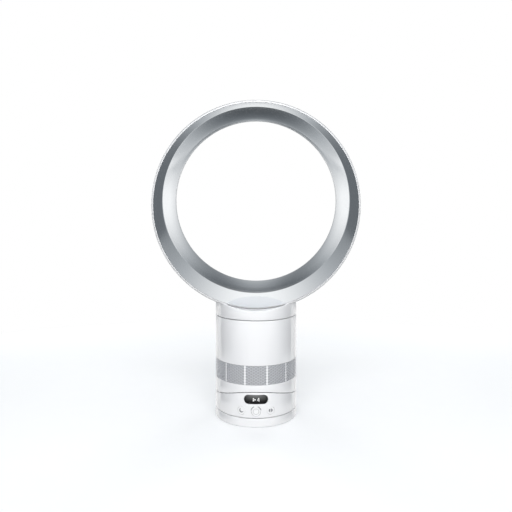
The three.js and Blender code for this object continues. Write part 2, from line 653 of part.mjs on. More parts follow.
function addMotorUnit() {
  const mountOuter = innerRadius - innerFit;
  const mountLow = ledgeHeight + clearance;
  const mountHigh = mountLow + mountHeight;
  const seat = shroudExit + thinWall + clearance;
  const guideOuter = seat + thinWall;
  add('motor_mount', tube(mountOuter, guideOuter + clearance, mountLow, mountHigh), rubber);

  const flangeLow = mountHigh + clearance;
  const inner = shares(3).map((share) => [guideRadius(share), impellerAt(share)]);
  const outer = inner.map(([radius, height]) => [radius + thinWall, height]).reverse();
  add('impeller_housing', turned([
    [shroudThroat + 7, shroudMouth - 1], ...inner, [shroudExit, guideTop], [seat, guideTop],
    [seat, guideTop + diffuserHeight], [guideOuter, guideTop + diffuserHeight], [guideOuter, flangeLow + shroudFlange],
    [mountOuter - 0.5, flangeLow + shroudFlange], [mountOuter - 0.5, flangeLow], [guideOuter, flangeLow],
    [guideOuter, guideTop - 1], ...outer, [shroudThroat + 7 + thinWall, shroudMouth],
  ]), darkPlastic);

  const hub = shares(2).map((share) => [hubRadiusAt(share), impellerAt(share)]);
  const hubInside = hub.slice(1).map(([radius, height]) => [radius - 3, height]).reverse();
  const wheel = turned([
    [shaftRadius + 0.1, impellerEye - 3], [impellerNose - 2, impellerEye - 3], ...hub, ...hubInside,
    [shaftRadius + 4, impellerAt(0.35)], [shaftRadius + 0.1, impellerAt(0.35)],
  ]);
  const shroudInner = shares(2).map((share) => [tipRadiusAt(share), impellerAt(share)]);
  const shroudRing = turned([...shroudInner, ...shroudInner.map(([r, z]) => [r + bladeThickness, z]).reverse()]);
  const blades = around(impellerBlades, () => vane((s) => hubRadiusAt(s) - 1, (s) => tipRadiusAt(s) + 0.7,
    (s) => impellerAt(0.03 + 0.94 * s), bladeThickness, bladeWrap, 2));
  add('impeller', join(solid(wheel), solid(shroudRing), ...blades), darkPlastic);

  const sleeveInner = bucketRadius + clearance;
  const sleeveOuter = sleeveInner + thinWall;
  const ductOuter = seat - clearance;
  const ductInner = ductOuter - thinWall;
  const seatTop = ductLow + 1.2;
  const sleeve = turned([
    [sleeveInner - 2, ductLow], [sleeveOuter, ductLow], [sleeveOuter, ductLow + diffuserHeight],
    [sleeveInner, ductLow + diffuserHeight], [sleeveInner, seatTop], [sleeveInner - 2, seatTop],
  ]);
  const duct = tube(ductOuter, ductInner, ductLow, ductLow + diffuserHeight);
  const vanes = around(diffuserVanes, () => vane(() => sleeveOuter - 0.8, () => ductInner + 0.8,
    (s) => ductLow + 1 + (diffuserHeight - 2) * s, vaneThickness, vaneWrap, 2).rotateZ(radians(vaneStart)));
  add('diffuser', join(solid(sleeve), solid(duct), ...vanes), paleNylon);

  const bucketLow = seatTop + clearance;
  const floorTop = bucketLow + 2;
  const bearingLow = floorTop + clearance;
  const pocket = bearingRadius + clearance;
  add('motor_bucket', turned([
    [shaftRadius + 1, bucketLow], [bucketRadius, bucketLow], [bucketRadius, bucketSplit],
    [bucketRadius - 2, bucketSplit], [bucketRadius - 2, floorTop], [pocket + 2, floorTop],
    [pocket + 2, bearingLow + bearingHeight], [pocket, bearingLow + bearingHeight], [pocket, floorTop],
    [shaftRadius + 1, floorTop],
  ]), darkPlastic);
  add('lower_bearing', tube(bearingRadius, shaftRadius + clearance, bearingLow, bearingLow + bearingHeight,
    smallFacets), steel);

  const statorLow = bearingLow + bearingHeight + clearance;
  const statorTop = statorLow + statorHeight;
  const upperBearingLow = statorTop + 1;
  const capLow = bucketSplit + clearance;
  const pocketTop = upperBearingLow + bearingHeight + clearance;
  add('motor_cap', turned([
    [bucketRadius - 2, capLow], [bucketRadius, capLow], [bucketRadius - 4, bucketSplit + 10],
    [bucketRadius * 0.55, bucketTop - 3], [0, bucketTop], [0, bucketTop - 2.5], [pocket, bucketTop - 4],
    [pocket, pocketTop - bearingHeight], [pocket + 2, pocketTop - bearingHeight], [pocket + 2, bucketTop - 7],
    [bucketRadius * 0.5, bucketTop - 7], [bucketRadius - 6.5, bucketSplit + 9],
  ]), paleNylon);
  add('upper_bearing', tube(bearingRadius, shaftRadius + clearance, upperBearingLow + clearance, pocketTop,
    smallFacets), steel);

  const core = solid(tube(bucketRadius - 2 - clearance, bucketRadius - 6, statorLow, statorTop));
  const bore = rotorRadius + airGap;
  const teeth = Array.from({ length: statorSlots }, (_, i) => {
    const winding = block(bore + 1, bucketRadius - 5, -4.2, 4.2, statorLow + 0.8, statorTop - 0.8);
    return solid(winding.rotateZ(i * 2 * Math.PI / statorSlots));
  });
  const shoe = solid(tube(bore + 2, bore, statorLow + 1, statorTop - 1));
  add('motor_stator', join(core, shoe, ...teeth), copper);
  add('motor_rotor', tube(rotorRadius, shaftRadius + 0.1, statorLow + 0.6, statorTop - 0.6), steel);
  add('motor_shaft', disc(shaftRadius - 0.1, impellerEye - 5, pocketTop + 1, smallFacets), steel);

  add('silencer_lining', tube(mountOuter, mountOuter - foamThickness, flangeLow + shroudFlange + foamGap,
    bodyTop - wall - clearance), foamGrey);
}

// ---------- Loop ----------

// Circles between the crest and the outer edge slide down from the throat's axis to the casing's axis.
function axisHeight(radius) {
  const share = THREE.MathUtils.clamp((radius - crestRadius) / (edgeRadius - crestRadius), 0, 1);
  return throatAxisHeight - loopOffset * share;
}

// A ring turned about the loop's two axes from a closed profile of [radius, place along Y] corners.
function loopTurned(profile, facets = loopFacets) {
  const corners = [...profile, profile[0]];
  const geometry = new THREE.LatheGeometry(corners.map(([radius, y]) => new THREE.Vector2(radius, y)), facets);
  const position = geometry.attributes.position;
  for (let i = 0; i < position.count; i++) {
    const radius = corners[i % corners.length][0];
    position.setZ(i, position.getZ(i) + axisHeight(radius));
  }
  return geometry;
}

// The same line shifted sideways by a distance, to its right as it runs.
function shifted(line, distance) {
  return line.map(([r, y], i) => {
    const [r0, y0] = line[Math.max(i - 1, 0)];
    const [r1, y1] = line[Math.min(i + 1, line.length - 1)];
    const length = Math.hypot(r1 - r0, y1 - y0);
    return [r + distance * (y1 - y0) / length, y - distance * (r1 - r0) / length];
  });
}

// A smooth bend through the plane of radius and place, drawn towards one or two pull points.
function bend(corners, steps) {
  const points = corners.map(([r, y]) => new THREE.Vector2(r, y));
  const Curve = corners.length === 4 ? THREE.CubicBezierCurve : THREE.QuadraticBezierCurve;
  return new Curve(...points).getPoints(steps).map((point) => [point.x, point.y]);
}

function quarter(centreRadius, centrePlace, reachRadius, reachPlace, from, to, steps) {
  return shares(steps).map((share) => {
    const angle = radians(from + (to - from) * share);
    return [centreRadius + reachRadius * Math.cos(angle), centrePlace + reachPlace * Math.sin(angle)];
  });
}

// Outline of the casing from the front edge over the outside and the back to the lip of the slot.
function casingLine() {
  return [
    ...quarter(edgeRadius + clearance, casingFront, edgeInset - clearance, casingFront - edgePlace, casingCurl, 0, 2),
    ...quarter(backRadius, 0, loopRadius - backRadius, backPlace, 0, 90, 4),
    ...quarter(backRadius, lipPlace, backRadius - lipRadius, backPlace - lipPlace, 90, 180, 3).slice(1),
  ];
}

// Outline of the front nozzle from the slot over the throat and the crest to the outer edge.
function nozzleLine() {
  const start = lipRadius + loopWall + slotWidth;
  const inlet = [[start, lipPlace + slotOverlap], [start, lipPlace - 4], [throatRadius, throatPlace + 14],
    [throatRadius, throatPlace]];
  const flare = [[throatRadius, throatPlace], [throatRadius, crestPlace / 2], [crestRadius - crestRound, crestPlace]];
  return [...bend(inlet, 3), ...bend(flare, 3).slice(1), [crestRadius + crestRound, crestPlace + crestRound / 2],
    [edgeRadius, edgePlace]];
}

const neckDuct = (low, high) => solid(new THREE.ExtrudeGeometry(
  pill(neckDuctWidth, neckDuctDepth, 0), { depth: high - low, bevelEnabled: false, curveSegments: 5 })
  .translate(0, 0, low));

function addLoop() {
  const outside = casingLine();
  const inside = shifted(outside, -loopWall);
  inside[0] = [outside[0][0], outside[0][1] + 1.6 * loopWall];
  const casing = solid(loopTurned([...outside, ...inside.reverse()]));
  const ductTop = casingAxisHeight - saddleRadius + 12;
  add('loop_casing', cut(casing, neckDuct(neckBottom, ductTop)), white);

  const front = nozzleLine();
  add('loop_nozzle', loopTurned([...front, ...shifted(front, -loopWall).reverse()]), silver);

  const neckHigh = casingAxisHeight - saddleRadius + bodyRadius / 2;
  const core = solid(disc(bodyRadius, neckBottom, neckHigh, casingFacets));
  const alongY = (radius, reach) => solid(new THREE.CylinderGeometry(radius, radius, 2 * reach, saddleFacets)
    .translate(0, 0, casingAxisHeight));
  const seatLine = shifted(outside, clearance);
  const seat = solid(loopTurned(seatLine));
  const hollow = solid(disc(innerRadius, neckBottom - 1, neckHigh, casingFacets))
    .subtract(alongY(loopRadius + clearance + wall, bodyRadius + 1));
  const lugLow = neckBottom + sealHeight + clearance;
  const shell = cut(core, alongY(saddleRadius, bodyRadius + 1), seat, hollow, neckDuct(neckBottom, neckHigh));
  const reachIn = innerRadius - lugReach;
  add('neck_collar', join(shell, ...lugs(reachIn, innerRadius + 0.5, lugLow, lugLow + lugThickness)), white);

  const sealOuter = innerRadius - clearance;
  add('neck_seal', tube(sealOuter, sealOuter - lugReach + clearance, bodyTop + clearance,
    bodyTop + clearance + sealHeight, casingFacets), rubber);
}

addFoot();
addDrum();
addTiltSlide();
addBody();
addMotorUnit();
addLoop();

export default fan;
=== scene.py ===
# %% [markdown]
# # A bladeless desk fan in the studio
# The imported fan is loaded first. It gives every piece its place, so nothing here has to be fitted by eye:
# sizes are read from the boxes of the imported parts, and each new skin is built to them.

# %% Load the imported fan
import json
import math

import bmesh
import bpy
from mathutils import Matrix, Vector


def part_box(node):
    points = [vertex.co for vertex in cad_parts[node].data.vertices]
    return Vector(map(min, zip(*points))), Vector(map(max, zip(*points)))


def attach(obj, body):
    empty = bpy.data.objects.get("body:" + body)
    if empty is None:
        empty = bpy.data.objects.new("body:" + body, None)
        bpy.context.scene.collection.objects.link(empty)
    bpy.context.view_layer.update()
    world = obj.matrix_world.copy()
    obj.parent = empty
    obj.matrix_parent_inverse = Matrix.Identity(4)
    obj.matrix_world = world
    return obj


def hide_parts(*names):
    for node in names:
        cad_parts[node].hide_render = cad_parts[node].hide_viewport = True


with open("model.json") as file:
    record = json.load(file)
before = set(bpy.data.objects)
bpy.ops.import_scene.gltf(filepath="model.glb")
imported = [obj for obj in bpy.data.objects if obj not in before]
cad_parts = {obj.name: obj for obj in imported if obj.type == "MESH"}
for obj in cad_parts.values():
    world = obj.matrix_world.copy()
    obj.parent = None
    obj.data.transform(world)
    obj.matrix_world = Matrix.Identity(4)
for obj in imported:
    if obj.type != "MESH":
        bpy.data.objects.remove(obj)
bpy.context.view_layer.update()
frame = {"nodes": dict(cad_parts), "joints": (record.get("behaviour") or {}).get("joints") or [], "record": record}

nodes = frame["nodes"]

# %% [markdown]
# ## Sizes of the tube
# The foot, the drum, the body and the neck are one straight tube with thin seams. They could be measured
# one by one, but their boxes already say where each ends, so only the seams and the wall are numbers of
# their own.

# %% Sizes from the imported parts
MM = 0.001


def low(node):
    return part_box(node)[0]


def high(node):
    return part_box(node)[1]


skin_inset = 0.06 * MM
wall = 2.6 * MM
foot_overhang = 0.8 * MM
drum_relief = 0.5 * MM
neck_relief = 2.0 * MM
tilt_seam = 0.9 * MM
tilt_radius = 168 * MM

body_radius = high("foot_skirt").y
skin_radius = body_radius - skin_inset
foot_low = low("foot_skirt").z - foot_overhang
foot_top = high("foot_skirt").z
drum_low = low("control_drum").z + drum_relief
tilt_axis = next(j for j in frame["joints"] if j["name"] == "tilt")["pos_m"][2]
grille_low = low("intake_grille").z
grille_high = high("intake_grille").z
body_top = high("neck_seal").z - neck_relief
neck_low = low("neck_collar").z
print("skin radius", skin_radius, "tilt axis height", tilt_axis)

# %% [markdown]
# ## Sizes of the loop
# The loop's opening, crest and slot are rings inside one part, which a box can't show. They are written
# here as radii and as places from front (negative) to back, for a section that is later carried round.

# %% Sizes of the loop's section
loop_radius = 179.5 * MM
loop_wall = 2.2 * MM
loop_back = high("loop_casing").y
edge_place = low("loop_casing").y
edge_radius = 172.8 * MM
crest_place = low("loop_nozzle").y
crest_radius = 154.3 * MM
crest_round = 0.3 * MM
throat_radius = 140.8 * MM
throat_place = -10 * MM
back_radius = 158 * MM
lip_radius = 143.9 * MM
lip_place = 14 * MM
slot_width = 2.2 * MM
slot_overlap = 8 * MM
casing_front = -26 * MM
saddle_radius = 175 * MM
casing_axis = high("loop_casing").z - loop_radius
loop_offset = 7.9 * MM
print("casing axis height", casing_axis, "opening", 2 * throat_radius)

# %% [markdown]
# ## The camera
# The photograph looks level at the fan from a little under a metre. Its upright edges stay upright, so
# the camera isn't tipped: the lens is shifted instead, which keeps the horizon above the middle of the
# picture.

# %% Camera at the photograph's place
picture_width = 512
focal_pixels = 535
horizon_row = 213
camera_distance = 0.9475
camera_height = 0.3522

camera_data = bpy.data.cameras.new("camera")
camera_data.sensor_width = 36
camera_data.lens = focal_pixels / picture_width * camera_data.sensor_width
camera_data.shift_y = -(picture_width / 2 - horizon_row) / picture_width
camera = bpy.data.objects.new("camera", camera_data)
camera.location = (0, -camera_distance, camera_height)
camera.rotation_euler = (math.radians(90), 0, 0)
bpy.context.scene.collection.objects.link(camera)
bpy.context.scene.camera = camera
print("lens", round(camera_data.lens, 2), "shift", round(camera_data.shift_y, 4))

# %% [markdown]
# ## Building meshes
# Every skin of this fan is a profile carried round an axis, so one helper does that. A `place` function
# turns a profile corner and an angle into a point: it can be a plain turn, a turn whose circles slide off
# centre, or a turn that is lifted to meet a saddle. Sharp edges are marked by angle, so flat ends stay
# crisp.


# %% Mesh helpers
def mesh_object(name, points, faces, crease=35):
    """A smooth-shaded object; edges sharper than crease degrees stay sharp."""
    mesh = bpy.data.meshes.new(name)
    mesh.from_pydata([tuple(point) for point in points], [], faces)
    grid = bmesh.new()
    grid.from_mesh(mesh)
    bmesh.ops.remove_doubles(grid, verts=grid.verts, dist=1e-7)
    bmesh.ops.recalc_face_normals(grid, faces=grid.faces)
    grid.to_mesh(mesh)
    grid.free()
    smooth(mesh, crease)
    piece = bpy.data.objects.new(name, mesh)
    bpy.context.scene.collection.objects.link(piece)
    return piece


def smooth(mesh, crease):
    mesh.polygons.foreach_set("use_smooth", [True] * len(mesh.polygons))
    mesh.set_sharp_from_angle(angle=math.radians(crease))
    mesh.update()


def carried_round(name, profile, place, steps=192, crease=35):
    """A closed profile carried round by place(corner, angle)."""
    count = len(profile)
    points = [place(corner, 2 * math.pi * i / steps) for i in range(steps) for corner in profile]
    faces = []
    for i in range(steps):
        here, there = i * count, (i + 1) % steps * count
        for j in range(count):
            k = (j + 1) % count
            faces.append((here + j, here + k, there + k, there + j))
    return mesh_object(name, points, faces, crease)


def about_z(corner, angle):
    radius, height = corner
    return (radius * math.sin(angle), -radius * math.cos(angle), height)


# %% [markdown]
# Rounded edges are quarters of a circle, and the loop's casing needs quarters of an ellipse, so one
# function gives both. Openings are cut with closed meshes and the exact solver, which keeps their edges
# clean on a curved wall.


# %% Arcs and cuts
def quarter(centre, reach, start, end, steps):
    """Points on an ellipse with that reach on each axis, angles in degrees."""
    turns = [math.radians(start + (end - start) * i / steps) for i in range(steps + 1)]
    return [(centre[0] + reach[0] * math.cos(t), centre[1] + reach[1] * math.sin(t)) for t in turns]


def arc(centre, radius, start, end, steps):
    return quarter(centre, (radius, radius), start, end, steps)


def carved(piece, cutters, crease=35):
    """The piece with other closed meshes cut away from it."""
    for cutter in cutters:
        modifier = piece.modifiers.new("cut", "BOOLEAN")
        modifier.operation = "DIFFERENCE"
        modifier.solver = "EXACT"
        modifier.object = cutter
    bpy.context.view_layer.update()
    seen = piece.evaluated_get(bpy.context.evaluated_depsgraph_get())
    finished = bpy.data.meshes.new_from_object(seen)
    piece.modifiers.clear()
    piece.data = finished
    smooth(finished, crease)
    for cutter in cutters:
        bpy.data.objects.remove(cutter)
    return piece


# %% [markdown]
# ## Writing materials as sums
# Node trees are easier to read as arithmetic. `Value` wraps one socket; adding or multiplying two of them
# adds a Math node. The reflected forms let a plain number stand on the left, as in `1 - mask`.


# %% Values of a node tree
class Value:
    def __init__(self, tree, socket):
        self.tree, self.socket = tree, socket

    def math(self, operation, other, swapped=False):
        node = self.tree.nodes.new("ShaderNodeMath")
        node.operation = operation
        for place, value in enumerate((other, self) if swapped else (self, other)):
            if isinstance(value, Value):
                self.tree.links.new(value.socket, node.inputs[place])
            else:
                node.inputs[place].default_value = value
        return Value(self.tree, node.outputs[0])

    def __add__(self, other):
        return self.math("ADD", other)

    def __sub__(self, other):
        return self.math("SUBTRACT", other)

    def __rsub__(self, other):
        return self.math("SUBTRACT", other, swapped=True)

    def __mul__(self, other):
        return self.math("MULTIPLY", other)

    def __truediv__(self, other):
        return self.math("DIVIDE", other)

    def __rtruediv__(self, other):
        return self.math("DIVIDE", other, swapped=True)

    def __pow__(self, other):
        return self.math("POWER", other)

    def __neg__(self):
        return self * -1

    __radd__ = __add__
    __rmul__ = __mul__

    def clamped(self):
        """The same value, held between 0 and 1."""
        held = self + 0.0
        held.socket.node.use_clamp = True
        return held

    def above(self, edge, width):
        """0 below the edge and 1 above it, rising evenly over that width."""
        return ((self - edge) / width + 0.5).clamped()


# %% [markdown]
# Everything that isn't arithmetic comes from `Maker.node`, which takes a node's type, its settings and
# its inputs. An input called `_6` is the node's seventh socket, for nodes whose sockets share a name.


# %% Maker of materials
class Maker:
    """One material or world, built from nodes."""

    def __init__(self, name, owner=None):
        self.material = owner or bpy.data.materials.new(name)
        self.material.use_nodes = True
        self.tree = self.material.node_tree
        self.shader = self.tree.nodes["Background" if owner else "Principled BSDF"]

    def node(self, kind, settings=None, **inputs):
        made = self.tree.nodes.new("ShaderNode" + kind)
        for name, value in (settings or {}).items():
            if name == "stops":
                ramp = made.color_ramp.elements
                while len(ramp) < len(value):
                    ramp.new(0.5)
                for element, (position, color) in zip(ramp, value):
                    element.position, element.color = position, (*color, 1)
            else:
                setattr(made, name, value)
        for name, value in inputs.items():
            socket = made.inputs[int(name[1:])] if name[0] == "_" else made.inputs[name.replace("_", " ")]
            self.feed(socket, value)
        return made

    def feed(self, socket, value):
        if isinstance(value, Value):
            self.tree.links.new(value.socket, socket)
        elif isinstance(value, bpy.types.NodeSocket):
            self.tree.links.new(value, socket)
        else:
            socket.default_value = value

    def value(self, node, output=0):
        return Value(self.tree, node.outputs[output])

    def place(self):
        return self.node("TexCoord").outputs["Object"]

    def parts(self, vector):
        """The three numbers of a vector."""
        split = self.node("SeparateXYZ", Vector=vector)
        return [self.value(split, axis) for axis in range(3)]

    def noise(self, scale, detail=3.0, roughness=0.5):
        cloud = self.node("TexNoise", Vector=self.place(), Scale=scale, Detail=detail, Roughness=roughness)
        return self.value(cloud)

    def mix(self, share, first, second):
        node = self.node("Mix", {"data_type": "RGBA"}, _0=share, _6=(*first, 1), _7=(*second, 1))
        return node.outputs[2]

    def bump(self, height, strength, distance):
        return self.node("Bump", Height=height, Strength=strength, Distance=distance).outputs[0]

    def set(self, **inputs):
        for name, value in inputs.items():
            self.feed(self.shader.inputs[name.replace("_", " ")], value)
        return self


# %% [markdown]
# ## White moulded plastic
# The casings are glossy white plastic. A flat white with one roughness would do from afar, but a real
# moulding is never so even: its gloss drifts slowly, fine texture breaks up the reflections, and a little
# dust dulls it. Slow noise moves the roughness and tints the colour by a hair, and very fine noise feeds
# a bump of a few microns. A clear coat over it gives the strong reflections of a polished skin.


# %% White plastics
def white_plastic(name, color, roughness, orange_peel=0.004 * MM):
    m = Maker(name)
    drift = m.noise(9, 2)
    grain = m.noise(900, 2)
    shade = m.mix(drift, [c * 0.985 for c in color], color)
    peel = m.noise(260, 2, 0.6)
    return m.set(
        Base_Color=shade,
        Roughness=roughness + 0.05 * drift + 0.01 * grain,
        Specular_IOR_Level=0.5,
        Coat_Weight=1.0,
        Coat_IOR=1.8,
        Coat_Roughness=0.06,
        Normal=m.bump(peel, 0.2, orange_peel),
    ).material


casing_white = white_plastic("casing_white", (0.915, 0.922, 0.94), 0.13)
key_white = white_plastic("key_white", (0.92, 0.925, 0.94), 0.28)
# The grille's grey is painted shade of its perforated panels; the moulding itself is as white as its strips.
grille_grey = white_plastic("grille_grey", (0.62, 0.635, 0.67), 0.4)
print("plastics", casing_white.name, key_white.name, grille_grey.name)

# %% [markdown]
# ## Silver loop
# The front of the loop is plastic with a metallic lacquer. It could be a plain metal, but that looks like
# polished steel. The flakes of a lacquer are too small to see one by one, so they show as a faint sparkle
# in the roughness and a slightly broken highlight.


# %% Silver lacquer
def silver_lacquer():
    m = Maker("silver_lacquer")
    flake = m.noise(2600, 1, 0.8)
    drift = m.noise(6, 2)
    shade = m.mix(flake, (0.9, 0.925, 0.945), (0.94, 0.96, 0.975))
    return m.set(
        Base_Color=shade,
        Metallic=1.0,
        Roughness=0.13 + 0.05 * flake + 0.03 * drift,
        Coat_Weight=0.25,
        Coat_Roughness=0.05,
        Normal=m.bump(flake, 0.12, 0.003 * MM),
    ).material


loop_silver = silver_lacquer()
print("lacquer", loop_silver.name)

# %% [markdown]
# ## Dark, clear and metal finishes
# The remaining finishes could each have a tree of their own. They share one recipe instead: a colour that
# varies a little between two tones and a roughness that follows the same noise, at the grain size that
# the real material has. The grain's depth is the last size, in real millimetres.


# %% Other finishes
def grained(name, light, dark, roughness, grain, depth, metallic=0.0, coat=0.0):
    m = Maker(name)
    fine = m.noise(grain, 4, 0.6)
    broad = m.noise(25, 2)
    return m.set(
        Base_Color=m.mix(fine, dark, light),
        Metallic=metallic,
        Roughness=roughness + 0.12 * (fine - 0.5) + 0.06 * broad,
        Coat_Weight=coat,
        Normal=m.bump(fine, 0.4, depth),
    ).material


dark_plastic = grained("dark_plastic", (0.05, 0.052, 0.056), (0.035, 0.037, 0.04), 0.5, 1400, 0.02 * MM)
black_plastic = grained("black_plastic", (0.02, 0.02, 0.022), (0.012, 0.012, 0.013), 0.4, 1400, 0.01 * MM)
soft_rubber = grained("soft_rubber", (0.03, 0.03, 0.031), (0.018, 0.018, 0.019), 0.8, 1800, 0.04 * MM)
pale_nylon = grained("pale_nylon", (0.66, 0.64, 0.58), (0.6, 0.58, 0.52), 0.5, 700, 0.01 * MM)
plain_steel = grained("plain_steel", (0.6, 0.6, 0.61), (0.48, 0.48, 0.49), 0.32, 2200, 0.004 * MM, 1.0)
copper_wire = grained("copper_wire", (0.75, 0.36, 0.2), (0.5, 0.2, 0.1), 0.35, 1500, 0.05 * MM, 1.0)
board_green = grained("board_green", (0.03, 0.16, 0.08), (0.02, 0.11, 0.055), 0.4, 500, 0.01 * MM, coat=0.3)
open_foam = grained("open_foam", (0.09, 0.09, 0.095), (0.02, 0.02, 0.022), 0.95, 900, 0.3 * MM)
# The grey of the sleeve behind the band's holes is painted shade seen through them.
mesh_grey = grained("mesh_grey", (0.44, 0.45, 0.47), (0.38, 0.39, 0.41), 0.7, 2600, 0.05 * MM)
# The grey of the bead under the loop's lip, which paints the shadow line there.
bead_grey = grained("bead_grey", (0.16, 0.16, 0.165), (0.13, 0.13, 0.135), 0.7, 1800, 0.02 * MM)
ink_grey = grained("ink_grey", (0.29, 0.295, 0.31), (0.26, 0.265, 0.28), 0.5, 1500, 0.002 * MM)
ink_pale = grained("ink_pale", (0.56, 0.565, 0.57), (0.52, 0.525, 0.53), 0.5, 1500, 0.002 * MM)
print("finishes", len(bpy.data.materials))

# %% [markdown]
# ## Display glass
# The window is black glass with a shallow curve, and the light from above turns its upper half grey. That
# grey could come from a lamp's reflection, but it would then wander with the angle. It is painted into the
# glass's colour here as a painted reflection: it fades downwards and towards both ends. The lit figures
# glow a little.


# %% Display materials
def display_glass():
    m = Maker("display_glass")
    across, _, height = m.parts(m.place())
    window_low, window_high = low("display_window"), high("display_window")
    rise = (height - window_low.z) / (window_high.z - window_low.z)
    middle = 1 - across * across / (window_high.x * window_high.x)
    speck = m.noise(1500, 2)
    # Painted reflection: the grey of the upper half stands in for the light from above, fading down and to both
    # ends.
    painted_reflection = rise.above(0.7, 0.8) * middle
    return m.set(
        Base_Color=m.mix(painted_reflection, (0.003, 0.003, 0.0033), (0.235, 0.24, 0.24)),
        Roughness=0.14 + 0.05 * speck,
        Specular_IOR_Level=0.17,
    ).material


def lit_figure():
    m = Maker("lit_figure")
    glow = m.noise(700, 1)
    return m.set(
        Base_Color=(0.6, 0.6, 0.6, 1),
        Roughness=0.4,
        Emission_Color=m.mix(glow, (0.75, 0.76, 0.76), (0.85, 0.86, 0.86)),
        Emission_Strength=0.55,
    ).material


window_glass = display_glass()
figure_light = lit_figure()
print("display", window_glass.name, figure_light.name)

# %% [markdown]
# ## Dressing a piece
# Each new piece needs a finish, the body that it rides on and the imported parts that it stands for. One
# call gives it all three, so none can be forgotten.


# %% Dress helper
def dress(piece, body, material, slot, *stands_for):
    piece.data.materials.clear()
    piece.data.materials.append(material)
    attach(piece, body)
    if stands_for:
        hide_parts(*stands_for)
    print(piece.name, len(piece.data.polygons), "faces")
    return piece


# %% [markdown]
# ## The air loop
# The loop is two hollow skins. The silver nozzle runs from the hidden slot over the throat, flares to a
# sharp crest and falls back to its outer edge. The white casing closes it outside and behind. A solid
# ring with two materials would look alike from the front, but the slot shows from the side, so both skins
# are real shells.


# %% Loop outline
def bend(corners, steps):
    """Points on a Bezier curve through the plane of (radius, place)."""
    degree = len(corners) - 1
    points = []
    for i in range(steps + 1):
        t = i / steps
        weights = [math.comb(degree, k) * t ** k * (1 - t) ** (degree - k) for k in range(degree + 1)]
        points.append(tuple(sum(w * c[axis] for w, c in zip(weights, corners)) for axis in (0, 1)))
    return points


def shifted(line, distance):
    """The same line moved sideways, into the duct."""
    moved = []
    for i, (r, y) in enumerate(line):
        r0, y0 = line[max(i - 1, 0)]
        r1, y1 = line[min(i + 1, len(line) - 1)]
        length = math.hypot(r1 - r0, y1 - y0)
        moved.append((r - distance * (y1 - y0) / length, y + distance * (r1 - r0) / length))
    return moved


slot_start = lip_radius + loop_wall + slot_width
inlet_pull = 4 * MM
throat_pull = 14 * MM
band_bulge = 0.5 * MM
nozzle_inlet = bend([
    (slot_start, lip_place + slot_overlap),
    (slot_start, lip_place - inlet_pull),
    (throat_radius, throat_place + throat_pull),
    (throat_radius, throat_place),
], 12)
nozzle_flare = bend([
    (throat_radius, throat_place),
    (throat_radius, crest_place / 2),
    (crest_radius - crest_round, crest_place),
], 20)
nozzle_band = bend([
    (crest_radius + crest_round, crest_place + crest_round / 2),
    ((crest_radius + edge_radius) / 2, (crest_place + edge_place) / 2 - band_bulge),
    (edge_radius, edge_place),
], 12)
nozzle_line = nozzle_inlet + nozzle_flare[1:] + nozzle_band
print("nozzle outline", len(nozzle_line), "points")


# %% [markdown]
# The opening and the crest share one axis, and the outer edge sits a little lower, so the silver band is
# wider at the bottom. Circles between the crest and the edge slide down evenly from one axis to the
# other. Past those two radii they stay on their own axis, which is all that `axis_height` says.


# %% Nozzle skin
def axis_height(radius):
    share = min(max((radius - crest_radius) / (edge_radius - crest_radius), 0), 1)
    return casing_axis + loop_offset * (1 - share)


def about_loop(corner, angle):
    radius, place = corner
    return (radius * math.sin(angle), place, axis_height(radius) + radius * math.cos(angle))


loop_steps = 480
nozzle_section = nozzle_line + shifted(nozzle_line, loop_wall)[::-1]
nozzle = carried_round("nozzle_skin", nozzle_section, about_loop, loop_steps)
dress(nozzle, "loop", loop_silver, "loop_silver", "loop_nozzle")

# %% [markdown]
# The casing's section is three quarter ellipses: the front lip, the outer back and the inner back. A
# blown or moulded shell has just such soft turns, and an ellipse needs only its centre and reach. The
# shell's inside is the same line, moved inwards by the wall.

# %% Casing skin
front_radius = edge_radius + 0.05 * MM
lip_depth = 1.6 * loop_wall
front_reach = (loop_radius - front_radius, casing_front - edge_place)
outer_reach = (loop_radius - back_radius, loop_back)
inner_reach = (back_radius - lip_radius, loop_back - lip_place)
casing_line = quarter((front_radius, casing_front), front_reach, -88, 0, 14)
casing_line += quarter((back_radius, 0), outer_reach, 0, 90, 24)
casing_line += quarter((back_radius, lip_place), inner_reach, 90, 180, 18)[1:]
start_radius, start_place = casing_line[0]
casing_inside = shifted(casing_line, loop_wall)
casing_inside[0] = (start_radius, start_place + lip_depth)
casing_inside = [corner for corner in casing_inside if corner[0] >= start_radius or corner[1] > casing_front]
casing = carried_round("casing_skin", casing_line + casing_inside[::-1], about_loop, loop_steps)
dress(casing, "loop", casing_white, "white_casing", "loop_casing")

# %% [markdown]
# ## Tubes with saddle edges
# The neck is cut to a saddle that follows the loop, and the body and the drum meet on a saddle about the
# tilt axis. A boolean cut would leave ragged edges, so each tube is a turned profile whose upper or lower
# corners are lifted instead: a corner is (radius, height, share), and share says how much of the saddle's
# lift it follows. All edges are rounded by about half a millimetre, which draws the fine lines along
# every seam.

# %% Saddles and edges
round_edge = 0.45 * MM


def neck_saddle(x, y):
    return casing_axis - math.sqrt(saddle_radius ** 2 - x ** 2)


def tilt_saddle(radius):
    return lambda x, y: tilt_axis - math.sqrt(radius ** 2 - y ** 2)


def lifted(saddle):
    def place(corner, angle):
        radius, height, share = corner
        x, y = radius * math.sin(angle), -radius * math.cos(angle)
        return (x, y, height + share * saddle(x, y))
    return place


def plain(corners):
    return [(radius, height, 0) for radius, height in corners]


def riding(corners):
    return [(radius, height, 1) for radius, height in corners]


def lower_edge(height, size=round_edge, steps=4):
    """The rounded lower outer edge of the tube's wall."""
    return arc((skin_radius - size, height + size), size, -90, 0, steps)


def upper_edge(height, size=round_edge, steps=4):
    return arc((skin_radius - size, height - size), size, 0, 90, steps)


# %% [markdown]
# ## Neck
# The neck is a collar with a plain lower edge. Its top is a saddle with a wider edge, where light gathers
# in a bright line under the loop, and a short duct in the middle leads the air up.

